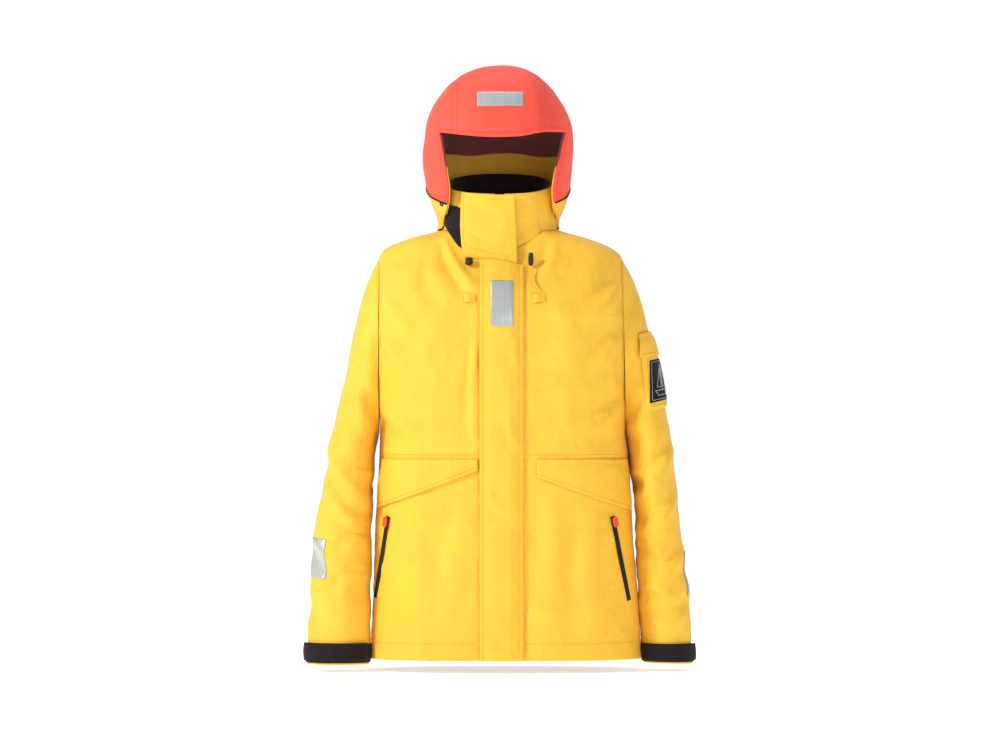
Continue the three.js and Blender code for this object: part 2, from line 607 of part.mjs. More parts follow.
// The left sleeve's pocket is level across the sleeve: each row is square to the way the sleeve hangs.
const SLEEVE_LEAN = 0.24;
const rowHeight = (p) => p.z - SLEEVE_LEAN * (p.x - W(262));
function halve(low, high, keep) {
  let [a, b] = [low, high];
  for (let i = 0; i < 24; i += 1) {
    const mid = (a + b) / 2;
    if (keep(mid)) a = mid;
    else b = mid;
  }
  return (a + b) / 2;
}
const along = (turn, row) => halve(0, 1, (t) => rowHeight(sleeves.left(turn, t, 0)) > row);
const turnTo = (x, row) => halve(0, 2.8, (turn) => sleeves.left(turn, along(turn, row), 0).x > x);
const patch = (back, x, top, bottom) => (s, t) => {
  const row = H(mix(bottom, top, t));
  const turn = mix(-degrees(back), turnTo(W(x), row), s);
  return [turn, along(turn, row)];
};
add("sleeve_pocket", cover(sleeves.left, patch(24, 249, 562, 436), 0.9, 2.5, 10, 5), "yellow");
add("sleeve_badge", cover(sleeves.left, patch(4, 261, 524, 450), 3.1, 3.8, 6, 4), "black");
const flapSpot = patch(26, 245, 577, 534);
add("sleeve_pocket_flap", cover(sleeves.left, flapSpot, 4.2, 6.2, 10, 2), "yellow");

// ---------------------------------------------------------------- hood
// A lofted shell cut into a centre panel, two sides and a yellow nape. It stands round the collar.
const HOOD_X = -3;
const hoodHalf = curve(
  [[744, 108], [770, 109], [783, 112], [803, 119], [824, 125], [848, 129], [880, 132], [910, 133], [930, 132],
    [950, 128], [971, 119], [992, 106], [1013, 89], [1028, 71], [1039, 48], [1045, 27], [1048, 8]], H, HW);
const hoodFront = curve(
  [[744, 82], [770, 90], [793, 104], [824, 122], [850, 131], [900, 143], [925, 149], [950, 143], [971, 132],
    [992, 118], [1013, 97], [1028, 77], [1039, 51], [1045, 29], [1048, 8]], H, D);
const hoodBack = curve(
  [[744, 92], [770, 95], [800, 106], [850, 125], [900, 134], [950, 130], [971, 122], [992, 110], [1013, 91],
    [1028, 72], [1039, 48], [1045, 28], [1048, 8]], H, D);

function hoodPoint(turn, z, inset) {
  const s = Math.sin(turn);
  const c = Math.cos(turn);
  const p = 2 / 2.3;
  const depth = c > 0 ? hoodFront(z) : hoodBack(z);
  const x = HOOD_X + Math.max(2, hoodHalf(z) - inset) * Math.sign(s) * Math.abs(s) ** p;
  const y = -Math.sign(c) * Math.max(2, depth - inset) * Math.abs(c) ** p;
  return V(x, y, z - inset * smooth((z - H(950)) / H(98)));
}

function hoodSolid(inset, columns) {
  const levels = [746, 770, 795, 824, 850, 880, 910, 940, 971, 1000, 1020, 1035, 1044, 1048];
  const points = [];
  for (const z of levels) {
    for (let k = 0; k < columns; k += 1) points.push(hoodPoint((k * TURN) / columns, H(z), inset));
  }
  const faces = [];
  const top = (levels.length - 1) * columns;
  for (let k = 0; k < columns; k += 1) {
    const n = (k + 1) % columns;
    for (let j = 0; j < levels.length - 1; j += 1) {
      const a = j * columns;
      faces.push([a + k, a + n, a + columns + n], [a + k, a + columns + n, a + columns + k]);
    }
    if (k > 1) {
      faces.push([0, k, k - 1]);
      faces.push([top, top + k - 1, top + k]);
    }
  }
  return toManifold(toGeometry(points, faces));
}

// A block with an outline in the YZ plane running across, or in the XZ plane running forward.
function across(outline, width) {
  const spot = outline.map(([y, z]) => [y, H(z)]);
  return toManifold(prism(spot, V(0, 0, 0), V(0, 1, 0), V(0, 0, 1), V(1, 0, 0), -width, width));
}
function forward(outline, near, far) {
  const spot = outline.map(([x, z]) => [HW(x), H(z)]);
  return toManifold(prism(spot, V(0, 0, 0), V(1, 0, 0), V(0, 0, 1), V(0, -1, 0), near, far));
}

const faceOpening = (grow) => [
  [-105 - grow, 700], [105 + grow, 700], [105 + grow, 762], [97 + grow, 795], [96 + grow, 824],
  [100 + grow, 855], [110 + grow, 900], [116 + grow, 927 + grow], [62, 921 + grow], [0, 917 + grow],
  [-62, 920 + grow], [-107 - grow, 927 + grow], [-103 - grow, 900], [-96 - grow, 855], [-93 - grow, 824],
  [-94 - grow, 795], [-105 - grow, 762]];

function keepClear(lift) {
  const levels = [700, 710, 720, 730, 740, 748, 754, 757];
  const points = [];
  const columns = 32;
  for (const z of levels) {
    for (let k = 0; k < columns; k += 1) {
      const turn = (k * TURN) / columns;
      const p = body(turn > Math.PI ? turn - TURN : turn, H(z), 0);
      points.push(V(p.x, p.y * (1 + lift / 90), p.z + lift));
    }
  }
  const faces = [];
  const top = (levels.length - 1) * columns;
  for (let k = 0; k < columns; k += 1) {
    const n = (k + 1) % columns;
    for (let j = 0; j < levels.length - 1; j += 1) {
      const a = j * columns;
      faces.push([a + k, a + n, a + columns + n], [a + k, a + columns + n, a + columns + k]);
    }
    if (k > 1) {
      faces.push([0, k, k - 1]);
      faces.push([top, top + k - 1, top + k]);
    }
  }
  return toManifold(toGeometry(points, faces));
}

const bodyTop = keepClear(4);
function hoodShell(outset, inset, grow, columns) {
  const hole = forward(faceOpening(grow), 8, 220);
  return hoodSolid(outset, columns).subtract(hoodSolid(inset, columns)).subtract(hole).subtract(bodyTop);
}
const belowLine = (drop) => [
  [-260, 730 + drop], [-95, 793 + drop], [0, 829 + drop], [125, 862 + drop], [260, 880 + drop], [260, 600],
  [-260, 600]];
const biggest = (solid) => solid.decompose().sort((a, b) => b.volume() - a.volume())[0];

const shell = hoodShell(0, CLOTH, 0, 28);
const low = across(belowLine(0), 400);
const lowGap = across(belowLine(GAP), 400);
const seamX = HW(77);
const strip = (x) => toManifold(new THREE.BoxGeometry(2 * x, 900, 1600).translate(HOOD_X, 0, 900));
add("hood_nape", fromManifold(biggest(shell.intersect(low))), "yellow");
const crown = shell.subtract(lowGap);
add("hood_centre_panel", fromManifold(biggest(crown.intersect(strip(seamX)))), "orange");
const sides = crown.subtract(strip(seamX + GAP)).decompose().sort((a, b) => b.volume() - a.volume());
for (const solid of sides.slice(0, 2)) {
  const box = solid.boundingBox();
  add(box.max[0] > 0 ? "hood_side_left" : "hood_side_right", fromManifold(solid), "orange");
}
const liner = hoodShell(CLOTH + 2, CLOTH + 2 + LINING, 3, 20);
const foot = across([[-260, 600], [260, 600], [260, 782], [-260, 782]], 400);
add("hood_lining_upper", fromManifold(biggest(liner.subtract(lowGap))), "dark");
add("hood_lining_lower", fromManifold(biggest(liner.intersect(low).subtract(foot))), "yellow");
const hoodSkin = (x, z, off) => {
  const lean = Math.abs(x - HOOD_X) / hoodHalf(z);
  const y = -hoodFront(z) * (1 - lean ** 2.3) ** (1 / 2.3);
  const p = V(x, y, z);
  const n = V(0, -1, smooth((z - H(910)) / H(60)) * 0.6).normalize();
  return p.addScaledVector(n, off);
};
add("hood_reflector", cover(hoodSkin, (s, t) => [mix(-40, 41, s), mix(H(971), H(995), t)], 1.6, 2.2, 5, 2),
  "silver");

// ---------------------------------------------------------------- joint lines, kept for reference
function tangentLine(points, outward) {
  const a = points[0];
  const b = points[points.length - 1];
  const direction = b.clone().sub(a).normalize();
  const out = outward.clone().addScaledVector(direction, -outward.dot(direction)).normalize();
  const lift = Math.max(...points.map((p) => p.clone().sub(a).dot(out)));
  return { at: a.clone().lerp(b, 0.5).addScaledVector(out, lift), direction };
}
const joints = {};
for (const { side, hand, inner } of POCKETS) {
  const start = Math.abs(turnAt(inner, H(353)));
  const line = [];
  for (let k = 0; k <= 10; k += 1) {
    line.push(body(side * mix(start, 1.33, k / 10), H(POCKET_SEAM - 2), 1.4 + FLAP));
  }
  joints[`pocket_flap_${hand}`] = tangentLine(line, V(side * 0.4, -1, 0));
}
const hatch = [0, 0.2, 0.4, 0.6, 0.8, 1].map((s) => sleeves.left(...flapSpot(s, 1), 6.2));
const hang = V(SLEEVE_LEAN, 0, -1).normalize();
joints.sleeve_pocket_flap = tangentLine(hatch, hatch[5].clone().sub(hatch[0]).cross(hang));
for (const [hand, sleeve] of Object.entries(sleeves)) {
  const a = sleeve(degrees(150), 0.988, 5.2);
  const b = sleeve(degrees(150), 0.926, 5.2);
  joints[`cuff_tab_${hand}`] = { at: a.clone().lerp(b, 0.5), direction: b.clone().sub(a).normalize() };
}
joints.main_slider_upper = { at: highSlider, direction: collarUp };
const SHIFT = V(0, -LOOP_Y, -H(763));
for (const { at } of Object.values(joints)) at.add(SHIFT);
group.userData.joints = joints;
group.userData.shift = SHIFT;

for (const mesh of group.children) mesh.geometry.translate(SHIFT.x, SHIFT.y, SHIFT.z);

export default group;
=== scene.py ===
import math
import bmesh
import bpy
import numpy as np
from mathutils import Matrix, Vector


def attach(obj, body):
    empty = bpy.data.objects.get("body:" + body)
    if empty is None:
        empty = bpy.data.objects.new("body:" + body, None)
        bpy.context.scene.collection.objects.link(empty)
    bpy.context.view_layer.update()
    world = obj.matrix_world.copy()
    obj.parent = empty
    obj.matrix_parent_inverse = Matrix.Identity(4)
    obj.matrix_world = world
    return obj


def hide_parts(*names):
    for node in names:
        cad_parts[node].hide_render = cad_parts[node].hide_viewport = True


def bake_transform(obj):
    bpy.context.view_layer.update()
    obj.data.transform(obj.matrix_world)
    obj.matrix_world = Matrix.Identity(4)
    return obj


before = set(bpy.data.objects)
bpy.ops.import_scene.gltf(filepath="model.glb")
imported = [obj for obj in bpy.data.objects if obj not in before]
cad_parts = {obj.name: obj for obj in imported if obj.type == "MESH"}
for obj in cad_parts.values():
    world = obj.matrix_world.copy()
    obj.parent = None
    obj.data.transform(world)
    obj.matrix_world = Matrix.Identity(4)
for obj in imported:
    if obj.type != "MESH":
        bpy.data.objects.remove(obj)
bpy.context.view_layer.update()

SHIFT = np.array([0.0, -71.2, -763.0])  # hem drawing frame, mm, to the shared frame
MIDDLE = 3.0
POWER = 2.8
PI = math.pi
FORWARD, BACKWARD = np.array([0, -1, 0]), np.array([0, 1, 0])


# ------------------------------------------------------------------ surfaces, mm, hem at z = 0
class Curve:
    def __init__(self, pairs):
        self.x = np.array([p[0] for p in pairs], float)
        self.y = np.array([p[1] for p in pairs], float)
        s = np.diff(self.y) / np.diff(self.x)
        m = np.zeros(len(self.x))
        m[0], m[-1] = s[0], s[-1]
        for i in range(1, len(s)):
            m[i] = 0 if s[i - 1] * s[i] <= 0 else 2 * s[i - 1] * s[i] / (s[i - 1] + s[i])
        self.m = m

    def __call__(self, v):
        v = np.clip(np.asarray(v, float), self.x[0], self.x[-1])
        i = np.clip(np.searchsorted(self.x, v, side="right") - 1, 0, len(self.x) - 2)
        h = self.x[i + 1] - self.x[i]
        t = (v - self.x[i]) / h
        t2, t3 = t * t, t * t * t
        ends = (2 * t3 - 3 * t2 + 1) * self.y[i] + (3 * t2 - 2 * t3) * self.y[i + 1]
        return ends + h * ((t3 - 2 * t2 + t) * self.m[i] + (t3 - t2) * self.m[i + 1])


side_right = Curve([(0, 248), (130, 240), (215, 235), (300, 230), (366, 225), (400, 221), (706, 215), (720, 202),
                    (740, 160), (750, 126), (757, 102), (765, 96)])
side_left = Curve([(0, 228), (130, 223), (215, 221), (300, 217), (366, 214), (400, 213), (706, 214), (720, 206),
                   (740, 166), (750, 130), (757, 104), (765, 97)])
front_depth = Curve([(0, 138), (600, 138), (640, 128), (680, 110), (700, 98), (715, 90), (735, 83), (757, 76),
                     (765, 74)])
back_depth = Curve([(0, 125), (480, 128), (560, 132), (640, 128), (680, 120), (705, 110), (722, 102), (740, 92),
                    (757, 82), (765, 79)])
neck_height = Curve([(0, 715), (7.5, 733), (19, 746), (39, 755), (63, 757), (90, 757), (135, 761), (180, 763)])


def smooth(t):
    t = np.clip(t, 0, 1)
    return t * t * (3 - 2 * t)


def mix(a, b, t):
    return a + (b - a) * t


def spow(v, p):
    return np.sign(v) * np.abs(v) ** p


def armhole(z):
    reach = 1 - ((z - 553) / 153) ** 2
    return np.where(reach > 0, 75 * np.sqrt(np.maximum(reach, 0)), 0)


def half_width(side, z, back):
    half = np.where(side < 0, side_left(z) + MIDDLE, side_right(z) - MIDDLE)
    cut = armhole(z) / np.where(back, back_depth(z), front_depth(z))
    return half / (1 - cut ** POWER) ** (1 / POWER)


def body_point(angle, z):
    angle, z = np.broadcast_arrays(np.asarray(angle, float), np.asarray(z, float))
    turn = angle - 2 * PI * np.round(angle / (2 * PI))
    back = np.abs(turn) > PI / 2
    lean = np.where(back, PI - np.abs(turn), np.abs(turn))
    depth = np.where(back, back_depth(z), -front_depth(z))
    across = np.sin(lean) ** (2 / POWER) * half_width(turn, z, back)
    y = depth * np.maximum(0, np.cos(lean)) ** (2 / POWER)
    return np.stack([MIDDLE + np.sign(turn) * across, y, z], -1)


def arm_edge(z, back):
    cut = armhole(z) / np.where(back, back_depth(z), front_depth(z))
    return np.arccos(cut ** (POWER / 2))


def turn_at(x, z):
    x, z = np.broadcast_arrays(np.asarray(x, float), np.asarray(z, float))
    side = np.where(x < MIDDLE, -1.0, 1.0)
    share = np.minimum(1, np.abs(x - MIDDLE) / half_width(side, z, False))
    return side * np.arcsin(share ** (POWER / 2))


def spread(u0, u1, cols, v0, v1, rows):
    """An even grid over u and v, rows by cols."""
    return np.meshgrid(np.linspace(u0, u1, cols), np.linspace(v0, v1, rows))


def travelled(line):
    """How far along a line of points each of them lies."""
    return np.concatenate([[0], np.cumsum(np.linalg.norm(np.diff(line, axis=0), axis=1))])


def neck_at(turn):
    """The neck seam's height at this turn round the body."""
    t = turn - 2 * PI * np.round(turn / (2 * PI))
    return neck_height(np.abs(t) * 180 / PI)


def bisect(low, high, steps, stays_low):
    """Halve the span between low and high; stays_low says which middles lie before the goal."""
    for _ in range(steps):
        mid = (low + high) / 2
        before = stays_low(mid)
        low, high = np.where(before, mid, low), np.where(before, high, mid)
    return low, high


def neck_turn(angle):
    """The body's turn where the collar at this angle is sewn on."""
    share = np.abs(np.sin(angle)) ** 0.8
    side = np.where(np.sin(angle) < 0, -1.0, 1.0)
    back = np.cos(angle) < 0
    goal = share * np.abs(body_point(side * PI / 2, neck_at(np.full_like(angle, PI / 2)))[..., 0] - MIDDLE)
    inside, _ = bisect(np.where(back, PI, 0.0), np.full_like(angle, PI / 2), 30,
                       lambda mid: np.abs(body_point(side * mid, neck_at(mid))[..., 0] - MIDDLE) < goal)
    return side * inside


def collar_point(angle, t):
    angle, t = np.broadcast_arrays(np.asarray(angle, float), np.asarray(t, float))
    turn = neck_turn(angle)
    base = body_point(turn, neck_at(turn) + 0.6)
    c, s = np.cos(angle), np.sin(angle)
    x = MIDDLE - 4 + 96 * spow(s, 0.8)
    y = np.where(c > 0, -88 * np.abs(c) ** 0.8, 78 * np.abs(c) ** 0.8)
    top = np.stack([x, y, mix(819, 859, (1 - c) / 2)], -1)
    return mix(base, top, t[..., None])


def collar_at(x):
    return np.sign(x - MIDDLE) * np.arcsin(np.minimum(1, np.abs(x - MIDDLE) / 98) ** 1.25)


SLEEVES = {
    "right": (-1, [
        [214, 706, 213, 400, 75, 0], [236, 655, 215, 396, 74, 0], [253, 593, 216.5, 390, 73, 0],
        [271, 509, 218, 380, 72, -4], [288, 425, 219.5, 358, 71, -10], [303, 341, 222.5, 310, 69, -18],
        [314, 275, 225.5, 256, 65, -26], [324, 210, 227, 200, 60, -33], [331, 131, 228.5, 128, 54, -40],
        [336, 45, 230, 45, 48, -46], [339, -9, 231, -9, 45, -50]]),
    "left": (1, [
        [215, 706, 221, 400, 75, 0], [240, 655, 223, 396, 74, 0], [259, 593, 224, 390, 73, 0],
        [280, 509, 226, 380, 72, -2], [294, 425, 228.5, 358, 71, -6], [306, 341, 233, 310, 69, -10],
        [316, 262, 239, 248, 65, -14], [325, 185, 242, 182, 60, -17], [332, 100, 245.5, 100, 54, -19],
        [337, 40, 250.5, 42, 49, -20], [340, -9, 253, -7, 46, -20]]),
}


def sleeve_columns(hand):
    """Outer x and z, inner x and z, half depth and lead of the sleeve's rings, from armhole to cuff."""
    return [Curve([(i / 10, row[k]) for i, row in enumerate(SLEEVES[hand][1])]) for k in range(6)]


def sleeve_maker(hand):
    side, cols = SLEEVES[hand][0], sleeve_columns(hand)

    def point(turn, t):
        turn, t = np.broadcast_arrays(np.asarray(turn, float), np.asarray(t, float))
        ox, oz, ix, iz, half, lead = [c(t) for c in cols]
        c = (1 + np.cos(turn)) / 2
        y = lead - half * np.sin(turn)
        return np.stack([side * mix(ix, ox, c) + side * 0.9, y, mix(iz, oz, c)], -1)
    return point


HOOD_X = -3.0
hood_half = Curve([(744, 108), (770, 109), (783, 112), (803, 119), (824, 125), (848, 129), (880, 132), (910, 133),
                   (930, 132), (950, 128), (971, 119), (992, 106), (1013, 89), (1028, 71), (1039, 48), (1045, 27),
                   (1048, 8)])
hood_front = Curve([(744, 82), (770, 90), (793, 104), (824, 122), (850, 131), (900, 143), (925, 149), (950, 143),
                    (971, 132), (992, 118), (1013, 97), (1028, 77), (1039, 51), (1045, 29), (1048, 8)])
hood_back = Curve([(744, 92), (770, 95), (800, 106), (850, 125), (900, 134), (950, 130), (971, 122), (992, 110),
                   (1013, 91), (1028, 72), (1039, 48), (1045, 28), (1048, 8)])


def hood_point(turn, z):
    turn, z = np.broadcast_arrays(np.asarray(turn, float), np.asarray(z, float))
    s, c = np.sin(turn), np.cos(turn)
    p = 2 / 2.3
    depth = np.where(c > 0, hood_front(z), hood_back(z))
    x = HOOD_X + np.maximum(2, hood_half(z)) * spow(s, p)
    y = -np.maximum(2, depth) * spow(c, p)
    return np.stack([x, y, z], -1)


# ------------------------------------------------------------------ folds
NOISE_CELLS = 32
LATTICES = [np.random.default_rng(seed).standard_normal((NOISE_CELLS,) * 3) for seed in (3, 5, 11, 17)]


def noise(p, scale, which=0, stretch=(1, 1, 1)):
    g = LATTICES[which]
    q = p / (scale * np.array(stretch)) + 500.37
    i = np.floor(q).astype(int)
    f = q - i
    f = f * f * f * (f * (f * 6 - 15) + 10)
    total = 0
    for dx in (0, 1):
        for dy in (0, 1):
            for dz in (0, 1):
                w = (f[..., 0] if dx else 1 - f[..., 0]) * (f[..., 1] if dy else 1 - f[..., 1])
                w = w * (f[..., 2] if dz else 1 - f[..., 2])
                total = total + w * g[tuple(np.moveaxis((i + (dx, dy, dz)) % NOISE_CELLS, -1, 0))]
    return total


# x0, z0, x1, z1, width, height, bend: ridges seen from the front, with a hollow on their lower right.
FRONT_FOLDS = [
    (-96, 735, -48, 655, 9, 4.0, 6), (-44, 540, -46, 400, 9, 2.5, 2), (-120, 700, -90, 640, 16, 2.0, 5),
    (96, 728, 70, 660, 12, 2.5, -5), (-207, 640, -150, 575, 16, 3.0, 6), (-209, 560, -165, 500, 14, 2.2, -5),
    (209, 655, 150, 600, 16, 3.0, -6), (211, 570, 170, 500, 15, 2.4, 5), (-208, 440, -150, 400, 14, 3.0, 5),
    (214, 450, 150, 405, 15, 3.0, -5), (-190, 480, -110, 452, 18, 1.6, 5), (186, 492, 90, 470, 18, 1.5, -6),
    (-60, 250, -90, 60, 26, 2.4, 8), (-150, 230, -140, 20, 24, 2.6, -8), (90, 260, 75, 40, 26, 2.4, -8),
    (160, 230, 175, 20, 24, 2.4, 8), (-110, 600, -120, 480, 30, 1.6, 6), (110, 610, 118, 500, 30, 1.6, -6),
    (14, 420, 36, 372, 9, 1.6, 3), (-8, 90, 24, 15, 9, 0.5, 4), (-28, 60, -8, 8, 8, 0.5, 3),
    (26, 560, 34, 500, 8, 1.2, 2), (-22, 300, 6, 262, 9, 1.2, 3),
]
SLEEVE_FOLDS = {
    "right": [
        (-296, 372, -232, 268, 13, 4.5, 10), (-230, 330, -262, 300, 12, 3.0, 5), (-300, 300, -244, 236, 12, 3.2, 8),
        (-236, 215, -272, 190, 10, 3.0, 4), (-318, 210, -262, 150, 13, 2.6, 8), (-240, 148, -282, 118, 11, 2.8, 5),
        (-250, 470, -225, 400, 14, 2.6, 5), (-262, 560, -222, 470, 18, 2.2, 8), (-315, 96, -262, 60, 12, 2.4, 6),
        (-230, 560, -222, 470, 12, 2.0, 3)],
    "left": [
        (300, 372, 244, 282, 13, 3.6, -8), (240, 330, 276, 296, 12, 2.6, -4), (306, 280, 256, 226, 12, 3.0, -7),
        (252, 205, 290, 178, 11, 2.6, -4), (322, 190, 272, 140, 12, 2.8, -7), (258, 130, 300, 104, 11, 2.6, -5),
        (262, 455, 234, 402, 13, 2.2, -4), (252, 640, 226, 560, 15, 2.2, -6), (325, 84, 276, 56, 12, 2.2, -5)],
}


def ridge(p, folds):
    total = np.zeros(p.shape[:-1])
    for x0, z0, x1, z1, width, height, bend in folds:
        a = np.array([x0, z0], float)
        d = np.array([x1, z1], float) - a
        length = np.hypot(*d)
        d /= length
        n = np.array([d[1], -d[0]])
        rx, rz = p[..., 0] - a[0], p[..., 2] - a[1]
        u = (rx * d[0] + rz * d[1]) / length
        v = rx * n[0] + rz * n[1] - bend * (1 - (2 * u - 1) ** 2)
        w = width * (0.7 + 0.5 * np.clip(u, 0, 1))
        along = smooth((u + 0.25) / 0.45) * smooth((1.25 - u) / 0.5)
        crest = np.exp(-(v / w) ** 2) - 0.75 * np.exp(-((v - 1.5 * w) / w) ** 2)
        total += 1.7 * height * along * crest
    return total


def relief(p, kind):
    """How far the cloth stands out from its plain shape, in mm."""
    facing = smooth((20 - p[..., 1]) / 60)
    wide = noise(p, 95, 0, (1, 1, 1.6)) * 1.9
    fine = (1 - np.abs(noise(p, 40, 1, (1.2, 1.2, 1)))) * 1.1 + noise(p, 17, 2) * 0.26
    fine = fine + (1 - np.abs(noise(p, 24, 3, (1.0, 1.0, 1.5)))) * 0.35
    if kind == "body":
        hem = smooth((160 - p[..., 2]) / 160)
        drape = hem * 3.0 * noise(p * np.array([1, 1, 0]), 52, 3)
        calm = smooth((765 - p[..., 2]) / 60)
        back = (1 - facing) * (noise(p, 60, 1, (1.6, 1, 1)) * 2.2)
        return (wide + fine + drape + back) * calm + ridge(p, FRONT_FOLDS) * facing
    if kind in SLEEVE_FOLDS:
        side = -1 if kind == "right" else 1
        lower = smooth((470 - p[..., 2]) / 160)
        rings = noise(p, 34, 1, (1.5, 2.2, 1)) * 1.8 * lower * smooth((p[..., 2] - 30) / 40)
        back = ridge(p + np.array([side * 14, 0, 30]), SLEEVE_FOLDS[kind]) * (1 - facing)
        return wide * 0.8 + fine * 0.9 + rings + ridge(p, SLEEVE_FOLDS[kind]) * facing + back * 0.8
    if kind == "hood":
        low = smooth((960 - p[..., 2]) / 160)
        return noise(p, 60, 1) * (1.3 + low) + noise(p, 26, 2) * 0.45
    if kind == "collar":
        return noise(p, 42, 1, (1, 1, 1.5)) * 2.0 + noise(p, 20, 2) * 0.5
    return np.zeros(p.shape[:-1])


def surface(point, kind, du=0.004, dv=0.5, middle=None, calm=None):
    """A function (u, v, offset, fade) to points: the plain shape plus its folds, lifted along the normal."""
    def at(u, v, offset=0.0, fade=1.0):
        u, v = np.broadcast_arrays(np.asarray(u, float), np.asarray(v, float))
        p = point(u, v)
        n = np.cross(point(u + du, v) - point(u - du, v), point(u, v + dv) - point(u, v - dv))
        n /= np.maximum(np.linalg.norm(n, axis=-1, keepdims=True), 1e-9)
        out = p * (1, 1, 0) if middle is None else p - middle(v)
        n *= np.where(np.sum(n * out, -1) < 0, -1.0, 1.0)[..., None]
        folds = relief(p, kind) * (1 if calm is None else calm(v)) * fade
        return p + n * np.asarray(folds + offset)[..., None]
    return at


def sleeve_surface(hand):
    side, cols = SLEEVES[hand][0], sleeve_columns(hand)

    def middle(t):
        ox, oz, ix, iz, _, lead = [c(t) for c in cols]
        return np.stack([side * (ox + ix) / 2, lead, (oz + iz) / 2], -1)

    def calm(t):
        return smooth(t / 0.06) * smooth((1.02 - t) / 0.08)
    return surface(sleeve_maker(hand), hand, 0.01, 0.004, middle, calm)


BODY_CENTRE = np.array([0.0, 0.0, 690.0])
body = surface(body_point, "body", middle=lambda z: BODY_CENTRE)
collar = surface(collar_point, "collar", dv=0.01)
sleeves = {h: sleeve_surface(h) for h in SLEEVES}
hood = surface(hood_point, "hood")


def front(x, z, offset=0.0, fade=1.0):
    return body(turn_at(x, z), z, offset, fade)


def collar_front(x, t, offset=0.0, fade=1.0):
    return collar(collar_at(np.asarray(x, float)), t, offset, fade)


# ------------------------------------------------------------------ materials
def add_node(tree, kind, inputs=None, **settings):
    """Add a shader node; an input given as a socket is linked, and any other is set."""
    n = tree.nodes.new(kind)
    for key, value in settings.items():
        setattr(n, key, value)
    for key, value in (inputs or {}).items():
        if isinstance(value, bpy.types.NodeSocket):
            tree.links.new(value, n.inputs[key])
        else:
            n.inputs[key].default_value = value
    return n


def fabric(name, rgb, rough=0.7, sheen=0.15, weave=1400.0, grain=0.00012, crumple=0.0006, mottle=0.05,
           metallic=0.0):
    """Cloth or plastic: mottled colour, a woven grain and a soft crumple, all procedural."""
    m = bpy.data.materials.new(name)
    m.use_nodes = True
    t = m.node_tree
    b = t.nodes["Principled BSDF"]
    for key, value in (("Metallic", metallic), ("Sheen Weight", sheen), ("Sheen Roughness", 0.45),
                       ("Coat Weight", 0.0), ("Specular IOR Level", 0.35)):
        b.inputs[key].default_value = value
    place = add_node(t, "ShaderNodeTexCoord").outputs["Object"]

    def texture(kind, scale, **inputs):
        return add_node(t, kind, {"Vector": place, "Scale": scale, **inputs}).outputs["Fac"]

    def spread(value, inner, amount):
        ends = {"From Min": inner, "From Max": 1 - inner, "To Min": 1 - amount, "To Max": 1 + amount}
        return add_node(t, "ShaderNodeMapRange", {"Value": value, **ends}).outputs[0]
    cloud = texture("ShaderNodeTexNoise", 16.0, Detail=4.0, Roughness=0.6)
    thread = texture("ShaderNodeTexNoise", weave, Detail=1.0)
    both = add_node(t, "ShaderNodeMath", {0: spread(cloud, 0.3, mottle), 1: spread(thread, 0.25, mottle * 0.8)},
                    operation="MULTIPLY")
    tint = add_node(t, "ShaderNodeVectorMath", {0: rgb, "Scale": both.outputs[0]}, operation="SCALE")
    t.links.new(tint.outputs[0], b.inputs["Base Color"])
    soft = texture("ShaderNodeTexNoise", 38.0, Detail=3.0, Roughness=0.55, Distortion=0.6)
    bump = add_node(t, "ShaderNodeBump", {"Strength": 0.8, "Distance": crumple * 5, "Height": soft})
    bands = []
    for axis in ("X", "Z"):
        wave = add_node(t, "ShaderNodeTexWave", {"Vector": place, "Scale": weave / 6, "Distortion": 0.6},
                        bands_direction=axis)
        bands.append(wave.outputs["Fac"])
    cross = add_node(t, "ShaderNodeMath", {0: bands[0], 1: bands[1]}, operation="MAXIMUM")
    woven = add_node(t, "ShaderNodeBump", {"Strength": 0.5, "Distance": grain, "Height": cross.outputs[0],
                                           "Normal": bump.outputs[0]})
    t.links.new(woven.outputs[0], b.inputs["Normal"])
    gloss = add_node(t, "ShaderNodeMapRange", {"Value": cloud, "To Min": rough - 0.06,
                                               "To Max": min(1, rough + 0.06)})
    t.links.new(gloss.outputs[0], b.inputs["Roughness"])
    return m


GRID_PITCH, LINE_SHARE = 0.0038, 0.2


def grid_tape(name, rgb, axes=("X", "Z")):
    """Retroreflective tape: pale grey film under a fine printed grid."""
    m = fabric(name, rgb, rough=0.34, sheen=0.0, weave=900, grain=0.00004, crumple=0.0002, metallic=0.25)
    t = m.node_tree
    colour = t.nodes["Principled BSDF"].inputs["Base Color"]
    film = colour.links[0].from_socket
    split = add_node(t, "ShaderNodeSeparateXYZ", {0: add_node(t, "ShaderNodeTexCoord").outputs["Object"]})
    lines = []
    for axis in axes:
        value = split.outputs[axis]
        for operation, by in (("MULTIPLY", 1 / GRID_PITCH), ("FRACT", 0), ("LESS_THAN", LINE_SHARE)):
            value = add_node(t, "ShaderNodeMath", {0: value, 1: by}, operation=operation).outputs[0]
        lines.append(value)
    either = add_node(t, "ShaderNodeMath", {0: lines[0], 1: lines[1]}, operation="MAXIMUM")
    blend = add_node(t, "ShaderNodeMix", data_type="RGBA")
    t.links.new(either.outputs[0], blend.inputs["Factor"])
    t.links.new(film, blend.inputs["A"])
    blend.inputs["B"].default_value = (*[c * 0.62 for c in rgb], 1)
    t.links.new(blend.outputs["Result"], colour)
    return m


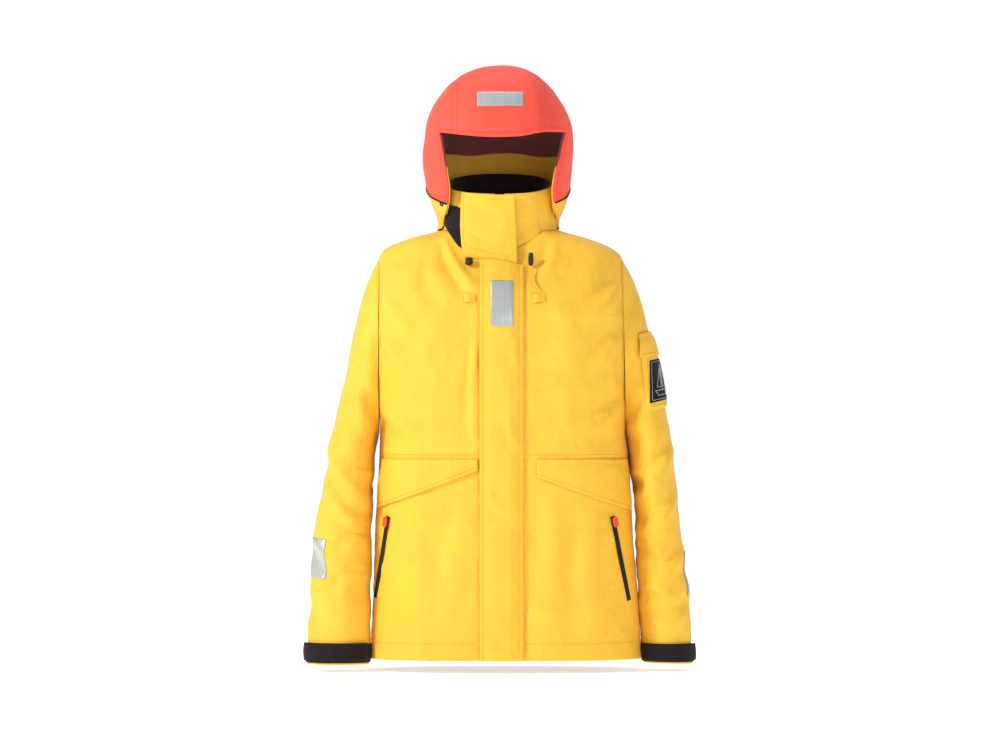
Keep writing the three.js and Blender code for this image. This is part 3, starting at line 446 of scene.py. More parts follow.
MAT = {
    "yellow": fabric("shell_yellow", (0.90, 0.515, 0.036), 0.62, 0.10),
    "orange": fabric("shell_orange", (0.93, 0.085, 0.050), 0.66, 0.06),
    "lining": fabric("lining_mesh", (0.62, 0.33, 0.05), 0.85, 0.2, weave=700, grain=0.0003),
    "dark": fabric("lining_dark", (0.24, 0.075, 0.08), 0.85, 0.15, weave=700),
    "inner": fabric("lining_yellow", (0.95, 0.60, 0.06), 0.8, 0.1, weave=700),
    "fleece": fabric("fleece_black", (0.012, 0.009, 0.011), 0.98, 0.35, weave=420, grain=0.0012, crumple=0.0012,
                     mottle=0.3),
    "webbing": fabric("cuff_black", (0.008, 0.005, 0.006), 0.9, 0.04, weave=600, grain=0.0004),
    "hook": fabric("hook_and_loop", (0.008, 0.005, 0.006), 0.95, 0.1, weave=520, grain=0.0010, mottle=0.25),
    "tape": fabric("zip_tape_black", (0.012, 0.009, 0.010), 0.8, 0.1, weave=800),
    "plastic": fabric("moulded_black", (0.012, 0.011, 0.012), 0.42, 0.0, weave=900, grain=0.00005, crumple=0.0001),
    "metal": fabric("slider_lacquer", (0.045, 0.042, 0.045), 0.35, 0.0, weave=900, grain=0.00003, crumple=0.0001,
                    metallic=0.7),
    "pull": fabric("pull_orange", (0.86, 0.075, 0.03), 0.55, 0.0, weave=900, grain=0.0001, crumple=0.0002),
    "cord": fabric("cord_yellow", (0.85, 0.47, 0.03), 0.75, 0.1, weave=600, grain=0.0003),
    "thread": fabric("thread_yellow", (0.76, 0.40, 0.018), 0.8, 0.0, weave=600),
    "thread_orange": fabric("thread_orange", (0.80, 0.075, 0.04), 0.8, 0.0, weave=600),
    "thread_black": fabric("thread_black", (0.03, 0.025, 0.027), 0.8, 0.0, weave=600),
    "print": fabric("badge_print", (0.55, 0.55, 0.53), 0.6, 0.0, weave=600),
    "silver": grid_tape("reflective_tape", (0.50, 0.52, 0.53)),
    "silver_side": grid_tape("reflective_tape_side", (0.54, 0.54, 0.50), ("Y", "Z")),
}


# ------------------------------------------------------------------ mesh tools
def to_row(points):
    return (np.asarray(points) + SHIFT) / 1000


def make(name, verts, faces, mat, body_name, replaces=(), thick=0.0, blend=None):
    """One named piece from points in mm, riding a body, or with blend given left on no body with its place baked
    in.
    """
    mesh = bpy.data.meshes.new(name)
    mesh.from_pydata(to_row(verts).tolist(), [], faces)
    mesh.validate()
    bm = bmesh.new()
    bm.from_mesh(mesh)
    bmesh.ops.remove_doubles(bm, verts=bm.verts, dist=1e-6)
    bmesh.ops.recalc_face_normals(bm, faces=bm.faces)
    bm.to_mesh(mesh)
    bm.free()
    mesh.polygons.foreach_set("use_smooth", [True] * len(mesh.polygons))
    obj = bpy.data.objects.new(name, mesh)
    bpy.context.scene.collection.objects.link(obj)
    obj.data.materials.append(MAT[mat])
    if thick:
        s = obj.modifiers.new("thickness", "SOLIDIFY")
        s.thickness = thick / 1000
        s.offset = -1
        s.use_even_offset = False
    if blend:
        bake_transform(obj)
    else:
        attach(obj, body_name)
    if replaces:
        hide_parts(*replaces)
    return obj


def grid_faces(rows, cols, ring=False, flip=False):
    """Quads over a grid of points, closed round each row where it is a ring."""
    faces = []
    wide = cols if ring else cols - 1
    for j in range(rows - 1):
        for i in range(wide):
            a, b = j * cols + i, j * cols + (i + 1) % cols
            quad = (a, b, b + cols, a + cols)
            faces.append(quad[::-1] if flip else quad)
    return faces


def shell_mesh(name, points, mat, body_name, replaces=(), thick=2.2, ring=False, outward=None, **more):
    """A grid of points as cloth; its faces look the way the vector outward does, or away from the Z axis."""
    rows, cols = points.shape[:2]
    j, i = rows // 2, cols // 2
    a = points[j, i]
    n = np.cross(points[j, (i + 1) % cols] - a, points[min(j + 1, rows - 1), i] - a)
    out = outward if outward is not None else np.array([a[0], a[1], 0])
    flip = float(np.dot(n, out)) < 0
    obj = make(name, points.reshape(-1, 3), grid_faces(rows, cols, ring, flip), mat, body_name, replaces, thick,
               **more)
    if thick:
        # recalc_face_normals may turn an open sheet either way, so the side is set here
        f = obj.data.polygons[len(obj.data.polygons) // 2]
        c = np.array(f.center) * 1000 - SHIFT
        k = np.argmin(np.sum((points.reshape(-1, 3) - c) ** 2, -1))
        jj, ii = divmod(int(k), cols)
        b = points[jj, ii]
        i2, j2 = (ii + 1) % cols, min(jj + 1, rows - 1)
        m = np.cross(points[jj, i2] - b, points[j2, ii] - b) * (-1 if flip else 1)
        if j2 == jj or (ii + 1 == cols and not ring):
            m = n * (-1 if flip else 1)
        if np.dot(m, np.array(f.normal)) < 0:
            obj.data.flip_normals()
    return obj


def declare_sheet(points):
    """Work out the flat width and length that a flap's grid of points comes to; nothing uses them."""
    width = np.linalg.norm(np.diff(points, axis=1), axis=-1).sum(1).max() / 1000
    length = np.linalg.norm(np.diff(points, axis=0), axis=-1).sum(0).max() / 1000


STITCH_PITCH, THREAD_RADIUS = 3.2, 0.42


def stitches(name, line, mat, body_name):
    """A run of thread: short raised stitches along a dense line of points."""
    s = travelled(line)
    count = max(2, int(s[-1] / STITCH_PITCH))
    verts, faces = [], []
    for k in range(count):
        a0, a1 = (k + 0.12) * s[-1] / count, (k + 0.8) * s[-1] / count
        p0 = np.array([np.interp(a0, s, line[:, c]) for c in range(3)])
        p1 = np.array([np.interp(a1, s, line[:, c]) for c in range(3)])
        along = (p1 - p0) / max(np.linalg.norm(p1 - p0), 1e-6)
        u = np.cross(along, [0.31, -0.9, 0.29])
        u /= np.linalg.norm(u)
        v = np.cross(along, u)
        base = len(verts)
        for p in (p0, p1):
            for a in (0, PI / 2, PI, 3 * PI / 2):
                verts.append(p + THREAD_RADIUS * (math.cos(a) * u + math.sin(a) * v))
        faces += [(base + q, base + (q + 1) % 4, base + 4 + (q + 1) % 4, base + 4 + q) for q in range(4)]
        faces += [(base + 3, base + 2, base + 1, base), (base + 4, base + 5, base + 6, base + 7)]
    return make(name, np.array(verts), faces, mat, body_name)


# ------------------------------------------------------------------ body panels
POCKET_SEAM, HEM_SEAM, YOKE, NECK_TOP = 355, 36, 640, 757
LINING_TOP, LINING_BOTTOM, LINING_DEPTH = 704, 12, -8.2
ARM_GAP = 0.002


def seam_groove(p, seam):
    """The dents along a cross seam and along the hem's seam."""
    cross = 0.9 * np.exp(-((p[..., 2] - seam) / 2.2) ** 2)
    return -cross - 0.7 * np.exp(-((p[..., 2] - HEM_SEAM) / 2.5) ** 2)


def front_grid(side, z0, z1, cols, nrows, offset, start_x=5.0):
    """One front, from start_x beside the main zip round to the armhole."""
    w, t = spread(0, 1, cols, 0, 1, nrows)
    zn = z0 + t * (z1 - z0)
    start = np.abs(turn_at(MIDDLE + side * start_x, np.minimum(zn, 715)))
    share = w ** 1.4
    neck = neck_at(mix(start, PI / 2, share)) - 0.3
    z = np.where(zn > YOKE, YOKE + (zn - YOKE) / (NECK_TOP - YOKE) * (neck - YOKE), zn)
    turn = mix(start, arm_edge(z, False) - ARM_GAP, share)
    plain = body_point(side * turn, z)
    edge = smooth((1 - w) / 0.05) * 0.8 + 0.2
    return body(side * turn, z, offset + seam_groove(plain, POCKET_SEAM), edge)


def back_grid(z0, z1, cols, nrows, offset):
    """The back, from armhole to armhole."""
    w, t = spread(-1, 1, cols, 0, 1, nrows)
    zn = z0 + t * (z1 - z0)
    lean0 = np.sign(w) * np.abs(w) ** 1.2 * PI / 2
    top = neck_at(np.where(lean0 < 0, -PI - lean0, PI - lean0)) - 0.3
    z = np.where(zn > YOKE, YOKE + (zn - YOKE) / (NECK_TOP - YOKE) * (top - YOKE), zn)
    lean = np.sign(w) * np.abs(w) ** 1.2 * (arm_edge(z, True) - ARM_GAP)
    turn = np.where(lean < 0, -PI - lean, PI - lean)
    edge = smooth((1 - np.abs(w)) / 0.05) * 0.8 + 0.2
    return body(turn, z, offset + seam_groove(body_point(turn, z), YOKE), edge)


for side, hand in ((-1, "right"), (1, "left")):
    shell_mesh(f"cloth_front_{hand}", front_grid(side, 0.2, NECK_TOP, 84, 210, 0.0), "yellow", "jacket",
               (f"front_lower_{hand}", f"front_upper_{hand}"), 2.2, outward=np.array([side * 0.3, -1, 0]))
    lining = front_grid(side, LINING_BOTTOM, LINING_TOP, 30, 60, LINING_DEPTH, 24)
    shell_mesh(f"cloth_lining_front_{hand}", lining, "lining", "jacket",
               (f"lining_front_{hand}",), 1.2, outward=np.array([side * 0.3, -1, 0]))
    s, t = spread(0, 1, 12, 0, 1, 20)
    shell_mesh(f"cloth_bag_{hand}", front(side * mix(92, 178, s), mix(70, 268, t), -4.4), "lining", "jacket",
               (f"pocket_bag_{hand}",), 1.2, outward=FORWARD)
shell_mesh("cloth_back", back_grid(0.2, NECK_TOP, 130, 190, 0.0), "yellow", "jacket",
           ("back_panel", "back_yoke"), 2.2, outward=BACKWARD)
shell_mesh("cloth_lining_back", back_grid(LINING_BOTTOM, LINING_TOP, 50, 60, LINING_DEPTH), "lining", "jacket",
           ("lining_back",), 1.2, outward=BACKWARD)


def dense(points):
    """Points every 0.8 mm along a line of straight lengths."""
    p = np.array(points, float)
    s = travelled(p)
    q = np.arange(0, s[-1], 0.8)
    return np.stack([np.interp(q, s, p[:, c]) for c in range(p.shape[1])], 1)


for side, hand in ((-1, "right"), (1, "left")):
    edge = 218 if side < 0 else 236
    for seam, z, reach in (("hem", 30, 0.99), ("waist", 361, 0.97)):
        line = dense([(side * 44, z), (side * edge * reach, z)])
        stitches(f"stitch_{seam}_{hand}", front(line[:, 0], line[:, 1], 0.2), "thread", "jacket")
    for k, inset in enumerate((0.035, 0.05)):
        z = np.linspace(402, 700, 380)
        stitches(f"stitch_arm_{hand}_{k}", body(side * (arm_edge(z, False) - inset), z, 0.25), "thread", "jacket")
ang = np.linspace(-1, 1, 900)
for k, z in enumerate((30.0, 634.0, 646.0)):
    lean = ang * (float(arm_edge(np.array(z), True)) - 0.03)
    turn = np.where(lean < 0, -PI - lean, PI - lean)
    stitches(f"stitch_back_{k}", body(turn, np.full_like(turn, z), 0.25), "thread", "jacket")

# ------------------------------------------------------------------ storm flap
FLAP_EDGE, FLAP_HINGE = -35.5, 41.5


def flap_lift(x):
    return mix(4.0, 7.4, smooth((x - FLAP_EDGE) / 24)) - 5.8 * smooth((x - MIDDLE - 12) / 24)


def flap_point(x, z, offset=0.0):
    wave = 1.3 * noise(np.stack([x * 0.6, x * 0, z], -1), 46, 1) * smooth((30 - x) / 50)
    tuck = smooth((z - 600) / 80)
    return front(x, z, flap_lift(x) + 2.4 + offset + np.maximum(wave, -1.2) * (1 - tuck), 0.75)


def flap_top(x):
    return mix(708, 697, (x + 66) / 96) - 4


x, t = spread(FLAP_EDGE, FLAP_HINGE, 44, 0, 1, 300)
pts = flap_point(x, t * flap_top(x))
cloth = shell_mesh("cloth_storm_flap", pts, "yellow", "storm_flap", ("storm_flap",), 2.4,
                   outward=FORWARD)
declare_sheet(pts)
for name, x0 in (("free", FLAP_EDGE + 6), ("sewn_a", FLAP_HINGE - 3), ("sewn_b", FLAP_HINGE - 9)):
    line = dense([(x0, 4), (x0, flap_top(np.array(x0)) - 5)])
    stitches(f"stitch_flap_{name}", flap_point(line[:, 0], line[:, 1], 0.15), "thread", "storm_flap")
x, z = spread(-16, 23, 24, 586, 661, 40)
shell_mesh("tape_chest", flap_point(x, z, 0.9), "silver", "storm_flap", ("chest_reflector",), 0.5,
           outward=FORWARD)
x, z = spread(FLAP_EDGE + 3, FLAP_EDGE + 15, 8, 40, 560, 160)
shell_mesh("pad_loop", front(x, z, 1.6, 0.8), "hook", "jacket", ("placket_loop_strip",), 1.0,
           outward=FORWARD)
shell_mesh("pad_hook", front(x, z, 3.4, 0.75), "hook", "storm_flap", ("placket_hook_strip",), 1.2,
           outward=FORWARD)


# ------------------------------------------------------------------ pocket flaps
POCKET_END = 1.33


def pocket_flap(side, hand, inner, inner_z, outer_z):
    """A flap sewn on above a pocket, from x = inner to the side, its lower edge running down outwards."""
    start = abs(float(turn_at(inner, 300.0)))

    def reach(turn):
        return np.abs(body_point(turn, np.full_like(turn, 300.0))[..., 0])

    def low_edge(turn):
        near, far = reach(np.array([side * start, side * POCKET_END]))
        return mix(inner_z, outer_z, (reach(turn) - near) / (far - near))
    w, t = spread(0, 1, 70, 0, 1, 26)
    turn = side * mix(start, POCKET_END, w)
    z = mix(low_edge(turn), 353.0, t)
    lift = 2.0 + 1.8 * smooth((1 - t) / 0.5) + 0.8 * noise(body_point(turn, z), 30, 1) * (1 - t)
    points = body(turn, z, lift + 0.6, 0.9)
    cloth = shell_mesh(f"cloth_pocket_flap_{hand}", points, "yellow", f"pocket_flap_{hand}",
                       (f"pocket_flap_{hand}",), 2.2, outward=FORWARD)
    declare_sheet(points)
    turn = side * mix(start, POCKET_END, np.linspace(0.01, 0.99, 500))
    z = low_edge(turn) + 6
    lift = 4.6 + 0.8 * noise(body_point(turn, z), 30, 1)
    stitches(f"stitch_pocket_{hand}", body(turn, z, lift, 0.9), "thread", f"pocket_flap_{hand}")


pocket_flap(-1, "right", FLAP_EDGE - 3, 334, 266)
pocket_flap(1, "left", 65, 322, 262)

# ------------------------------------------------------------------ collar and chin flap
START = math.asin((9 / 98) ** 1.25)
a, t = spread(START, 2 * PI - START, 240, -0.05, 1, 44)
fade = smooth(t / 0.2) * 0.8 + 0.2
shell_mesh("cloth_collar", collar(a, t, 0.0, fade), "yellow", "jacket", ("collar_shell",), 2.4,
           outward=BACKWARD)
a, t = spread(0.19, 2 * PI - 0.19, 160, 0.1, 1.005, 24)
shell_mesh("fleece_collar", collar(a, t, -3.2, 0.8), "fleece", "jacket", ("collar_lining",), 3.4,
           outward=BACKWARD)
w, k = spread(0, 1, 30, 0, 1, 50)
x = mix(-97, -62, w)
pad_low = front(x, np.full_like(x, 722.0), 3.4, 0.6)
pad_mid = collar_front(x, 0.16, 2.6, 0.8)
start = 0.42 * (1 - smooth(w / 0.95)) ** 1.3
climb = mix(start, 1.0, k)
pad_top = collar_front(x, mix(0.16, 0.60, np.clip((climb - 0.4) / 0.6, 0, 1)), 2.6, 0.8)
pad = np.where((climb < 0.4)[..., None], mix(pad_low, pad_mid, np.clip(climb / 0.4, 0, 1)[..., None]), pad_top)
shell_mesh("pad_collar", pad, "hook", "jacket", ("collar_loop_patch",), 1.0, outward=FORWARD)

CHIN = (-66.0, 30.0)


def chin_point(x, t, offset=0.0):
    high = collar_front(x, 0.985, 0.0, 0)
    bottom = mix(708, 697, (x - CHIN[0]) / (CHIN[1] - CHIN[0]))
    low = front(x, bottom, 0.0, 0)
    mid = collar_front(x, 0.12, 0.0, 0)
    k = t[..., None]
    p = np.where(k < 0.15, mix(low, mid, k / 0.15), mix(mid, high, (k - 0.15) / 0.85))
    puff = 1.2 * noise(np.stack([x, x * 0, t * 110], -1), 38, 1)
    p[..., 1] -= mix(5.0, 7.0, t) + 2.4 + offset + puff * smooth((x - CHIN[0] + 40) / 40)
    return p


x, t = np.meshgrid(np.linspace(*CHIN, 50), np.linspace(0, 1, 60))
x = x + 4 * smooth((0.06 - t) / 0.06) * smooth((-60 - x) / 6)
pts = chin_point(x, t)
cloth = shell_mesh("cloth_chin_flap", pts, "yellow", "chin_flap", ("chin_flap",), 2.6, outward=FORWARD)
declare_sheet(pts)
line = np.concatenate([np.stack([np.full(150, CHIN[0] + 5), np.linspace(0.96, 0.06, 150)], 1),
                       np.stack([np.linspace(CHIN[0] + 5, CHIN[1] - 3, 150), np.full(150, 0.06)], 1)])
stitches("stitch_chin", chin_point(line[:, 0], line[:, 1], 0.2), "thread", "chin_flap")

# ------------------------------------------------------------------ hood
EDGE_L = Curve([(744, 105), (762, 105), (795, 94), (824, 93), (855, 96), (900, 103), (927, 107)])
EDGE_R = Curve([(744, 105), (762, 105), (795, 97), (824, 96), (855, 100), (900, 110), (927, 116)])
BELOW = Curve([(-260, 730), (-95, 793), (0, 829), (125, 862), (260, 880)])


def hood_edge(z, curve, sign):
    share = np.minimum(0.999, (curve(z) - sign * HOOD_X) / hood_half(z))
    return np.arcsin(share ** (2.3 / 2))


def hood_turn(w, z):
    return mix(hood_edge(z, EDGE_R, 1), 2 * PI - hood_edge(z, EDGE_L, -1), w)


def line_height(w):
    z = np.full_like(w, 829.0)
    for _ in range(12):
        z = 0.5 * z + 0.5 * BELOW(hood_point(hood_turn(w, z), z)[..., 1])
    return z


def base_height(w, clear):
    back = np.sin(w * PI)
    return 759 + clear - 6 * back


def lining_height(w):
    return 866 + 30 * np.sin(w * PI) + 2.5 * np.sin(w * 31)


def nape_grid(cols, nrows, inset, clear=0.0, line=line_height):
    w, t = spread(0, 1, cols, 0, 1, nrows)
    z = mix(base_height(w, clear), line(w), t)
    return hood(hood_turn(w, z), z, -inset, smooth(t / 0.2))


def rim_dip(x):
    """How far the hood's front rim hangs below its corners."""
    share = np.clip((x + 4) / 112, -1, 1)
    return 11 * (1 - share ** 2) ** 1.3 - 3.0 * np.exp(-((x - 74) / 24) ** 2)


def crown_mesh(name, inset, mat, thick, cols, low_rows, top_rows, front_cols, replaces, grow=0.0, seams=True,
               line=line_height):
    """The hood above the colour line: open at the face below the rim, closed round the top."""
    rim = 927.0 + grow
    w, t = spread(0, 1, cols, 0, 1, low_rows)
    z = mix(line(w), rim, t)
    turn = hood_turn(w, np.minimum(z, 927))
    face = np.linspace(turn[-1, -1], turn[-1, 0] + 2 * PI, front_cols + 2)[1:-1]
    ring_turn = np.concatenate([turn[-1], face])
    k = np.linspace(0, 1, top_rows)[1:]
    levels = rim + (1048 - rim) * np.sin(k * PI / 2)
    rt, rz = np.meshgrid(ring_turn, np.concatenate([[rim], levels]))
    flat_x = hood_point(ring_turn, np.full_like(ring_turn, rim))[..., 0]
    dip = np.zeros_like(ring_turn)
    dip[cols:] = rim_dip(flat_x[cols:])
    rz = rz - dip[None, :] * (1 - smooth((rz - rim) / 26))

    def place(turn, z):
        x = hood_point(turn, z)[..., 0]
        groove = -0.9 * np.exp(-((np.abs(x - HOOD_X) - 77) / 1.8) ** 2) if seams else 0.0
        return hood(turn, z, groove - inset)
    a = place(turn[:-1], z[:-1])
    b = place(rt, rz)
    verts = np.concatenate([a.reshape(-1, 3), b.reshape(-1, 3)])
    na = low_rows - 1
    faces = grid_faces(na, cols)
    base = na * cols
    wide = cols + front_cols
    for i in range(cols - 1):
        q = (na - 1) * cols + i
        faces.append((q, q + 1, base + i + 1, base + i))
    for j in range(b.shape[0] - 1):
        for i in range(wide):
            q, r = base + j * wide + i, base + j * wide + (i + 1) % wide
            faces.append((q, r, r + wide, q + wide))
    last = base + (b.shape[0] - 1) * wide
    verts = np.concatenate([verts, b[-1].mean(0)[None]])
    for i in range(wide):
        faces.append((last + i, last + (i + 1) % wide, len(verts) - 1))
    obj = make(name, verts, faces, mat, "hood", replaces, 0)
    f = max(obj.data.polygons, key=lambda q: q.center[2])
    if f.normal[2] < 0:
        obj.data.flip_normals()
    s = obj.modifiers.new("thickness", "SOLIDIFY")
    s.thickness = thick / 1000
    s.offset = -1
    return obj


crown_mesh("cloth_hood_crown", 0.0, "orange", 3.0, 150, 34, 46, 70,
           ("hood_centre_panel", "hood_side_right", "hood_side_left"))
crown_mesh("lining_hood_crown", 5.0, "dark", 1.4, 100, 24, 30, 40, ("hood_lining_upper",), 4.0, False,
           lining_height)
shell_mesh("cloth_hood_nape", nape_grid(150, 30, 0.0), "yellow", "hood", ("hood_nape",), 2.4,
           outward=BACKWARD)
shell_mesh("lining_hood_nape", nape_grid(120, 40, 5.0, 22.0, lining_height), "inner", "hood",
           ("hood_lining_lower",), 1.2, outward=BACKWARD)


def tube(name, line, radius, mat, body_name, sides=8, **more):
    """A round bar along a line of points, closed at both ends."""
    line = np.asarray(line, float)
    n = len(line)
    along = np.gradient(line, axis=0)
    along /= np.maximum(np.linalg.norm(along, axis=1, keepdims=True), 1e-9)
    u = np.cross(along, np.array([0.13, 0.21, 0.97]))
    bad = np.linalg.norm(u, axis=1) < 0.2
    u[bad] = np.cross(along[bad], np.array([1.0, 0, 0]))
    u /= np.linalg.norm(u, axis=1, keepdims=True)
    v = np.cross(along, u)
    r = np.broadcast_to(np.asarray(radius, float), (n,))
    rings = [line + r[:, None] * (math.cos(q) * u + math.sin(q) * v)
             for q in np.linspace(0, 2 * PI, sides, endpoint=False)]
    verts = np.stack(rings, 1).reshape(-1, 3)
    faces = grid_faces(n, sides, True)
    verts = np.concatenate([verts, line[:1], line[-1:]])
    for q in range(sides):
        faces.append((n * sides, (q + 1) % sides, q))
        faces.append((n * sides + 1, (n - 1) * sides + q, (n - 1) * sides + (q + 1) % sides))
    return make(name, verts, faces, mat, body_name, **more)


w = np.linspace(0.003, 0.997, 260)
piping = hood(hood_turn(w, line_height(w)), line_height(w), 0.9)
tube("piping_hood", piping, 1.3, "webbing", "hood")
for k, gap in enumerate((5.0, -5.0)):
    z = line_height(np.linspace(0.02, 0.98, 900)) + gap
    q = hood(hood_turn(np.linspace(0.02, 0.98, 900), z), z, 0.2)
    stitches(f"stitch_hood_line_{k}", q, "thread_orange" if gap > 0 else "thread", "hood")
rim_turn = np.linspace(-1, 1, 500)
rim_t = np.where(rim_turn < 0, rim_turn * hood_edge(np.array(927.0), EDGE_L, -1),
                 rim_turn * hood_edge(np.array(927.0), EDGE_R, 1))
rim_x = hood_point(rim_t, np.full_like(rim_t, 927.0))[..., 0]
rim_z = 927 - rim_dip(rim_x) + 7
stitches("stitch_hood_rim", hood(rim_t, rim_z, 0.2), "thread_orange", "hood")
for hand, curve, sign in (("left", EDGE_R, 1), ("right", EDGE_L, -1)):
    z = np.linspace(800, 924, 200)
    e = hood_edge(z, curve, sign) + 0.06
    stitches(f"stitch_face_{hand}", hood(sign * e, z, 0.2), "thread_orange", "hood")
    z = np.linspace(764, 786, 40)
    e = hood_edge(z, curve, sign) + 0.06
    stitches(f"stitch_face_low_{hand}", hood(sign * e, z, 0.2), "thread", "hood")
    # the ends of the face cord run out through an eyelet below the colour line
    zc, tc = 801.0, hood_edge(np.array(801.0), curve, sign) + 0.16
    if sign < 0:
        c = hood(np.array(-tc), np.array(zc), 0.8)
        n = hood(np.array(-tc), np.array(zc), 4.0) - c
        n /= np.linalg.norm(n)
        u = np.cross(n, [0, 0, 1.0])
        u /= np.linalg.norm(u)
        v = np.cross(n, u)
        q = np.linspace(0, 2 * PI, 26)
        tube("eyelet_hood", c + 3.4 * (np.cos(q)[:, None] * u + np.sin(q)[:, None] * v), 1.3, "plastic", "hood")


def crown_skin(x, z, offset):
    share = np.abs(x - HOOD_X) / hood_half(z)
    turn = np.sign(x - HOOD_X) * np.arcsin(np.minimum(share, 0.999) ** (2.3 / 2))
    return hood(turn, z, offset)


x, z = spread(-40, 41, 40, 971, 996, 16)
shell_mesh("tape_hood", crown_skin(x, z, 0.8), "silver", "hood", ("hood_reflector",), 0.5,
           outward=np.array([0, -1, 0.5]))
for sign in (-1, 1):
    z = np.linspace(926, 1016, 160)
    for k, dx in enumerate((72.5, 81.5)):
        keep = hood_half(z) > dx + 4
        q = crown_skin(np.full(keep.sum(), HOOD_X + sign * dx), z[keep], 0.2)
        stitches(f"stitch_panel_{'l' if sign > 0 else 'r'}{k}", q, "thread_orange", "hood")

# ------------------------------------------------------------------ sleeves
AXIS = {"right": (-0.9962, 0.0, -0.0872), "left": (0.9962, 0.0, -0.0872)}


def arm_blend(hand):
    d = np.array(AXIS[hand]) / np.linalg.norm(AXIS[hand])
    return ("jacket", f"sleeve_{hand}", tuple(d * 0.246), tuple(d * 0.266))


for hand, place in sleeves.items():
    side = SLEEVES[hand][0]
    a, t = np.meshgrid(np.linspace(0, 2 * PI, 120, endpoint=False), np.linspace(0, 1, 230) ** 0.95)
    pts = place(a, t)
    shell_mesh(f"cloth_sleeve_{hand}", pts, "yellow", None, (f"sleeve_{hand}",), 2.0, ring=True,
               outward=pts[115, 60] - pts[115].mean(0), blend=arm_blend(hand))
    a, t = np.meshgrid(np.linspace(0, 2 * PI, 100, endpoint=False), np.linspace(0.93, 0.994, 14))
    puff = 2.4 + 1.3 * np.sin(np.linspace(0, PI, 14))[:, None] + 0.5 * np.sin(7 * a)
    pts = place(a, t, puff)
    shell_mesh(f"cuff_black_{hand}", pts, "webbing", f"sleeve_{hand}", (f"cuff_band_{hand}",), 1.8, ring=True,
               outward=pts[7, 50] - pts[7].mean(0))
    # the tab: a strap round the front of the cuff with a rounded free end
    w, v = spread(0, 1, 70, -1, 1, 16)
    end = np.sqrt(np.maximum(0.0, 1 - np.clip((w - 0.86) / 0.14, 0, 1) ** 2.4))
    t = 0.957 + 0.031 * v * np.maximum(end, 0.02)
    a = np.radians(mix(150, -15, w))
    rise = 5.6 + 1.1 * (1 - v ** 2) + 1.2 * smooth((w - 0.7) / 0.3)
    pts = place(a, t, rise)
    shell_mesh(f"cuff_strap_{hand}", pts, "webbing", f"cuff_tab_{hand}", (f"cuff_tab_{hand}",), 2.2,
               outward=np.array([side * 0.3, -1.0, 0]))
    w = np.linspace(0.02, 0.84, 200)
    for k, v in enumerate((-0.84, 0.84)):
        a = np.radians(mix(150, -15, w))
        q = place(a, 0.957 + 0.031 * v + 0 * w, 5.9 + 1.1 * (1 - v ** 2) + 1.2 * smooth((w - 0.7) / 0.3))
        stitches(f"stitch_cuff_{hand}_{k}", q, "thread_black", f"cuff_tab_{hand}")
    lo, hi = ((-42, 58) if side < 0 else (-62, 24))
    a, t = np.meshgrid(np.radians(np.linspace(lo, hi, 50)), np.linspace(0.695, 0.786, 26))
    pts = place(a, t, 1.1)
    shell_mesh(f"tape_sleeve_{hand}", pts, "silver_side", f"sleeve_{hand}", (f"sleeve_reflector_{hand}",), 0.5,
               outward=pts[13, 25] - place(np.array(PI), np.array(0.74)))

place = sleeves["left"]
bare_sleeve = sleeve_maker("left")
LEAN = 0.24


def level(turn, z):
    """Where along the left sleeve a line at this turn comes down to row z, square to the sleeve."""
    def higher(t):
        p = bare_sleeve(turn, t)
        return p[..., 2] - LEAN * (p[..., 0] - 262) > z
    return sum(bisect(np.zeros_like(z), np.ones_like(z), 26, higher)) / 2


def turn_of(x, z):
    """The turn at which the front of the left sleeve passes (x, z)."""
    return sum(bisect(np.zeros_like(z), np.full_like(z, 2.8), 24,
                      lambda turn: bare_sleeve(turn, level(turn, z))[..., 0] > x)) / 2


def sleeve_patch(w, z, x_inner, back, offset):
    """Points on the left sleeve: w runs from an inner edge at x_inner to a line round the outside."""
    turn = mix(turn_of(x_inner, z), -math.radians(back), w)
    return place(turn, level(turn, z), offset, 0.7)


def pocket_edge(z):
    return 246 + (560 - z) * 0.09


w, z = spread(0, 1, 56, 566, 436, 56)
rim = np.minimum.reduce([smooth(w / 0.1), smooth((1 - w) / 0.1), smooth((z - 435) / 7)])
pts = sleeve_patch(w, z, pocket_edge(z), 26, 1.6 + 3.2 * rim)
outer = pts[25, 25] - place(np.array(PI), np.array(0.28))
shell_mesh("cloth_sleeve_pocket", pts, "yellow", "sleeve_left", ("sleeve_pocket",), 1.4, outward=outer)
w = np.concatenate([np.full(120, 0.11), np.linspace(0.11, 0.9, 120)])
z = np.concatenate([np.linspace(530, 443, 120), np.full(120, 443.0)])
stitches("stitch_sleeve_pocket", sleeve_patch(w, z, pocket_edge(z), 26, 5.0), "thread", "sleeve_left")
w, z = spread(0, 1, 40, 525, 450, 50)
shell_mesh("badge", sleeve_patch(w, z, np.full_like(z, 261.0), 4, 5.8), "webbing", "sleeve_left",
           ("sleeve_badge",), 0.7, outward=outer)


def badge_line(name, points, radius=0.5):
    p = np.array(points, float)
    d = travelled(p)
    q = np.linspace(0, d[-1], max(4, int(d[-1] * 30)))
    u, v = np.interp(q, d, p[:, 0]), np.interp(q, d, p[:, 1])
    z = mix(525, 450, v)
    tube(name, sleeve_patch(u, z, np.full_like(z, 261.0), 4, 6.2), radius, "print", "sleeve_left", 6)


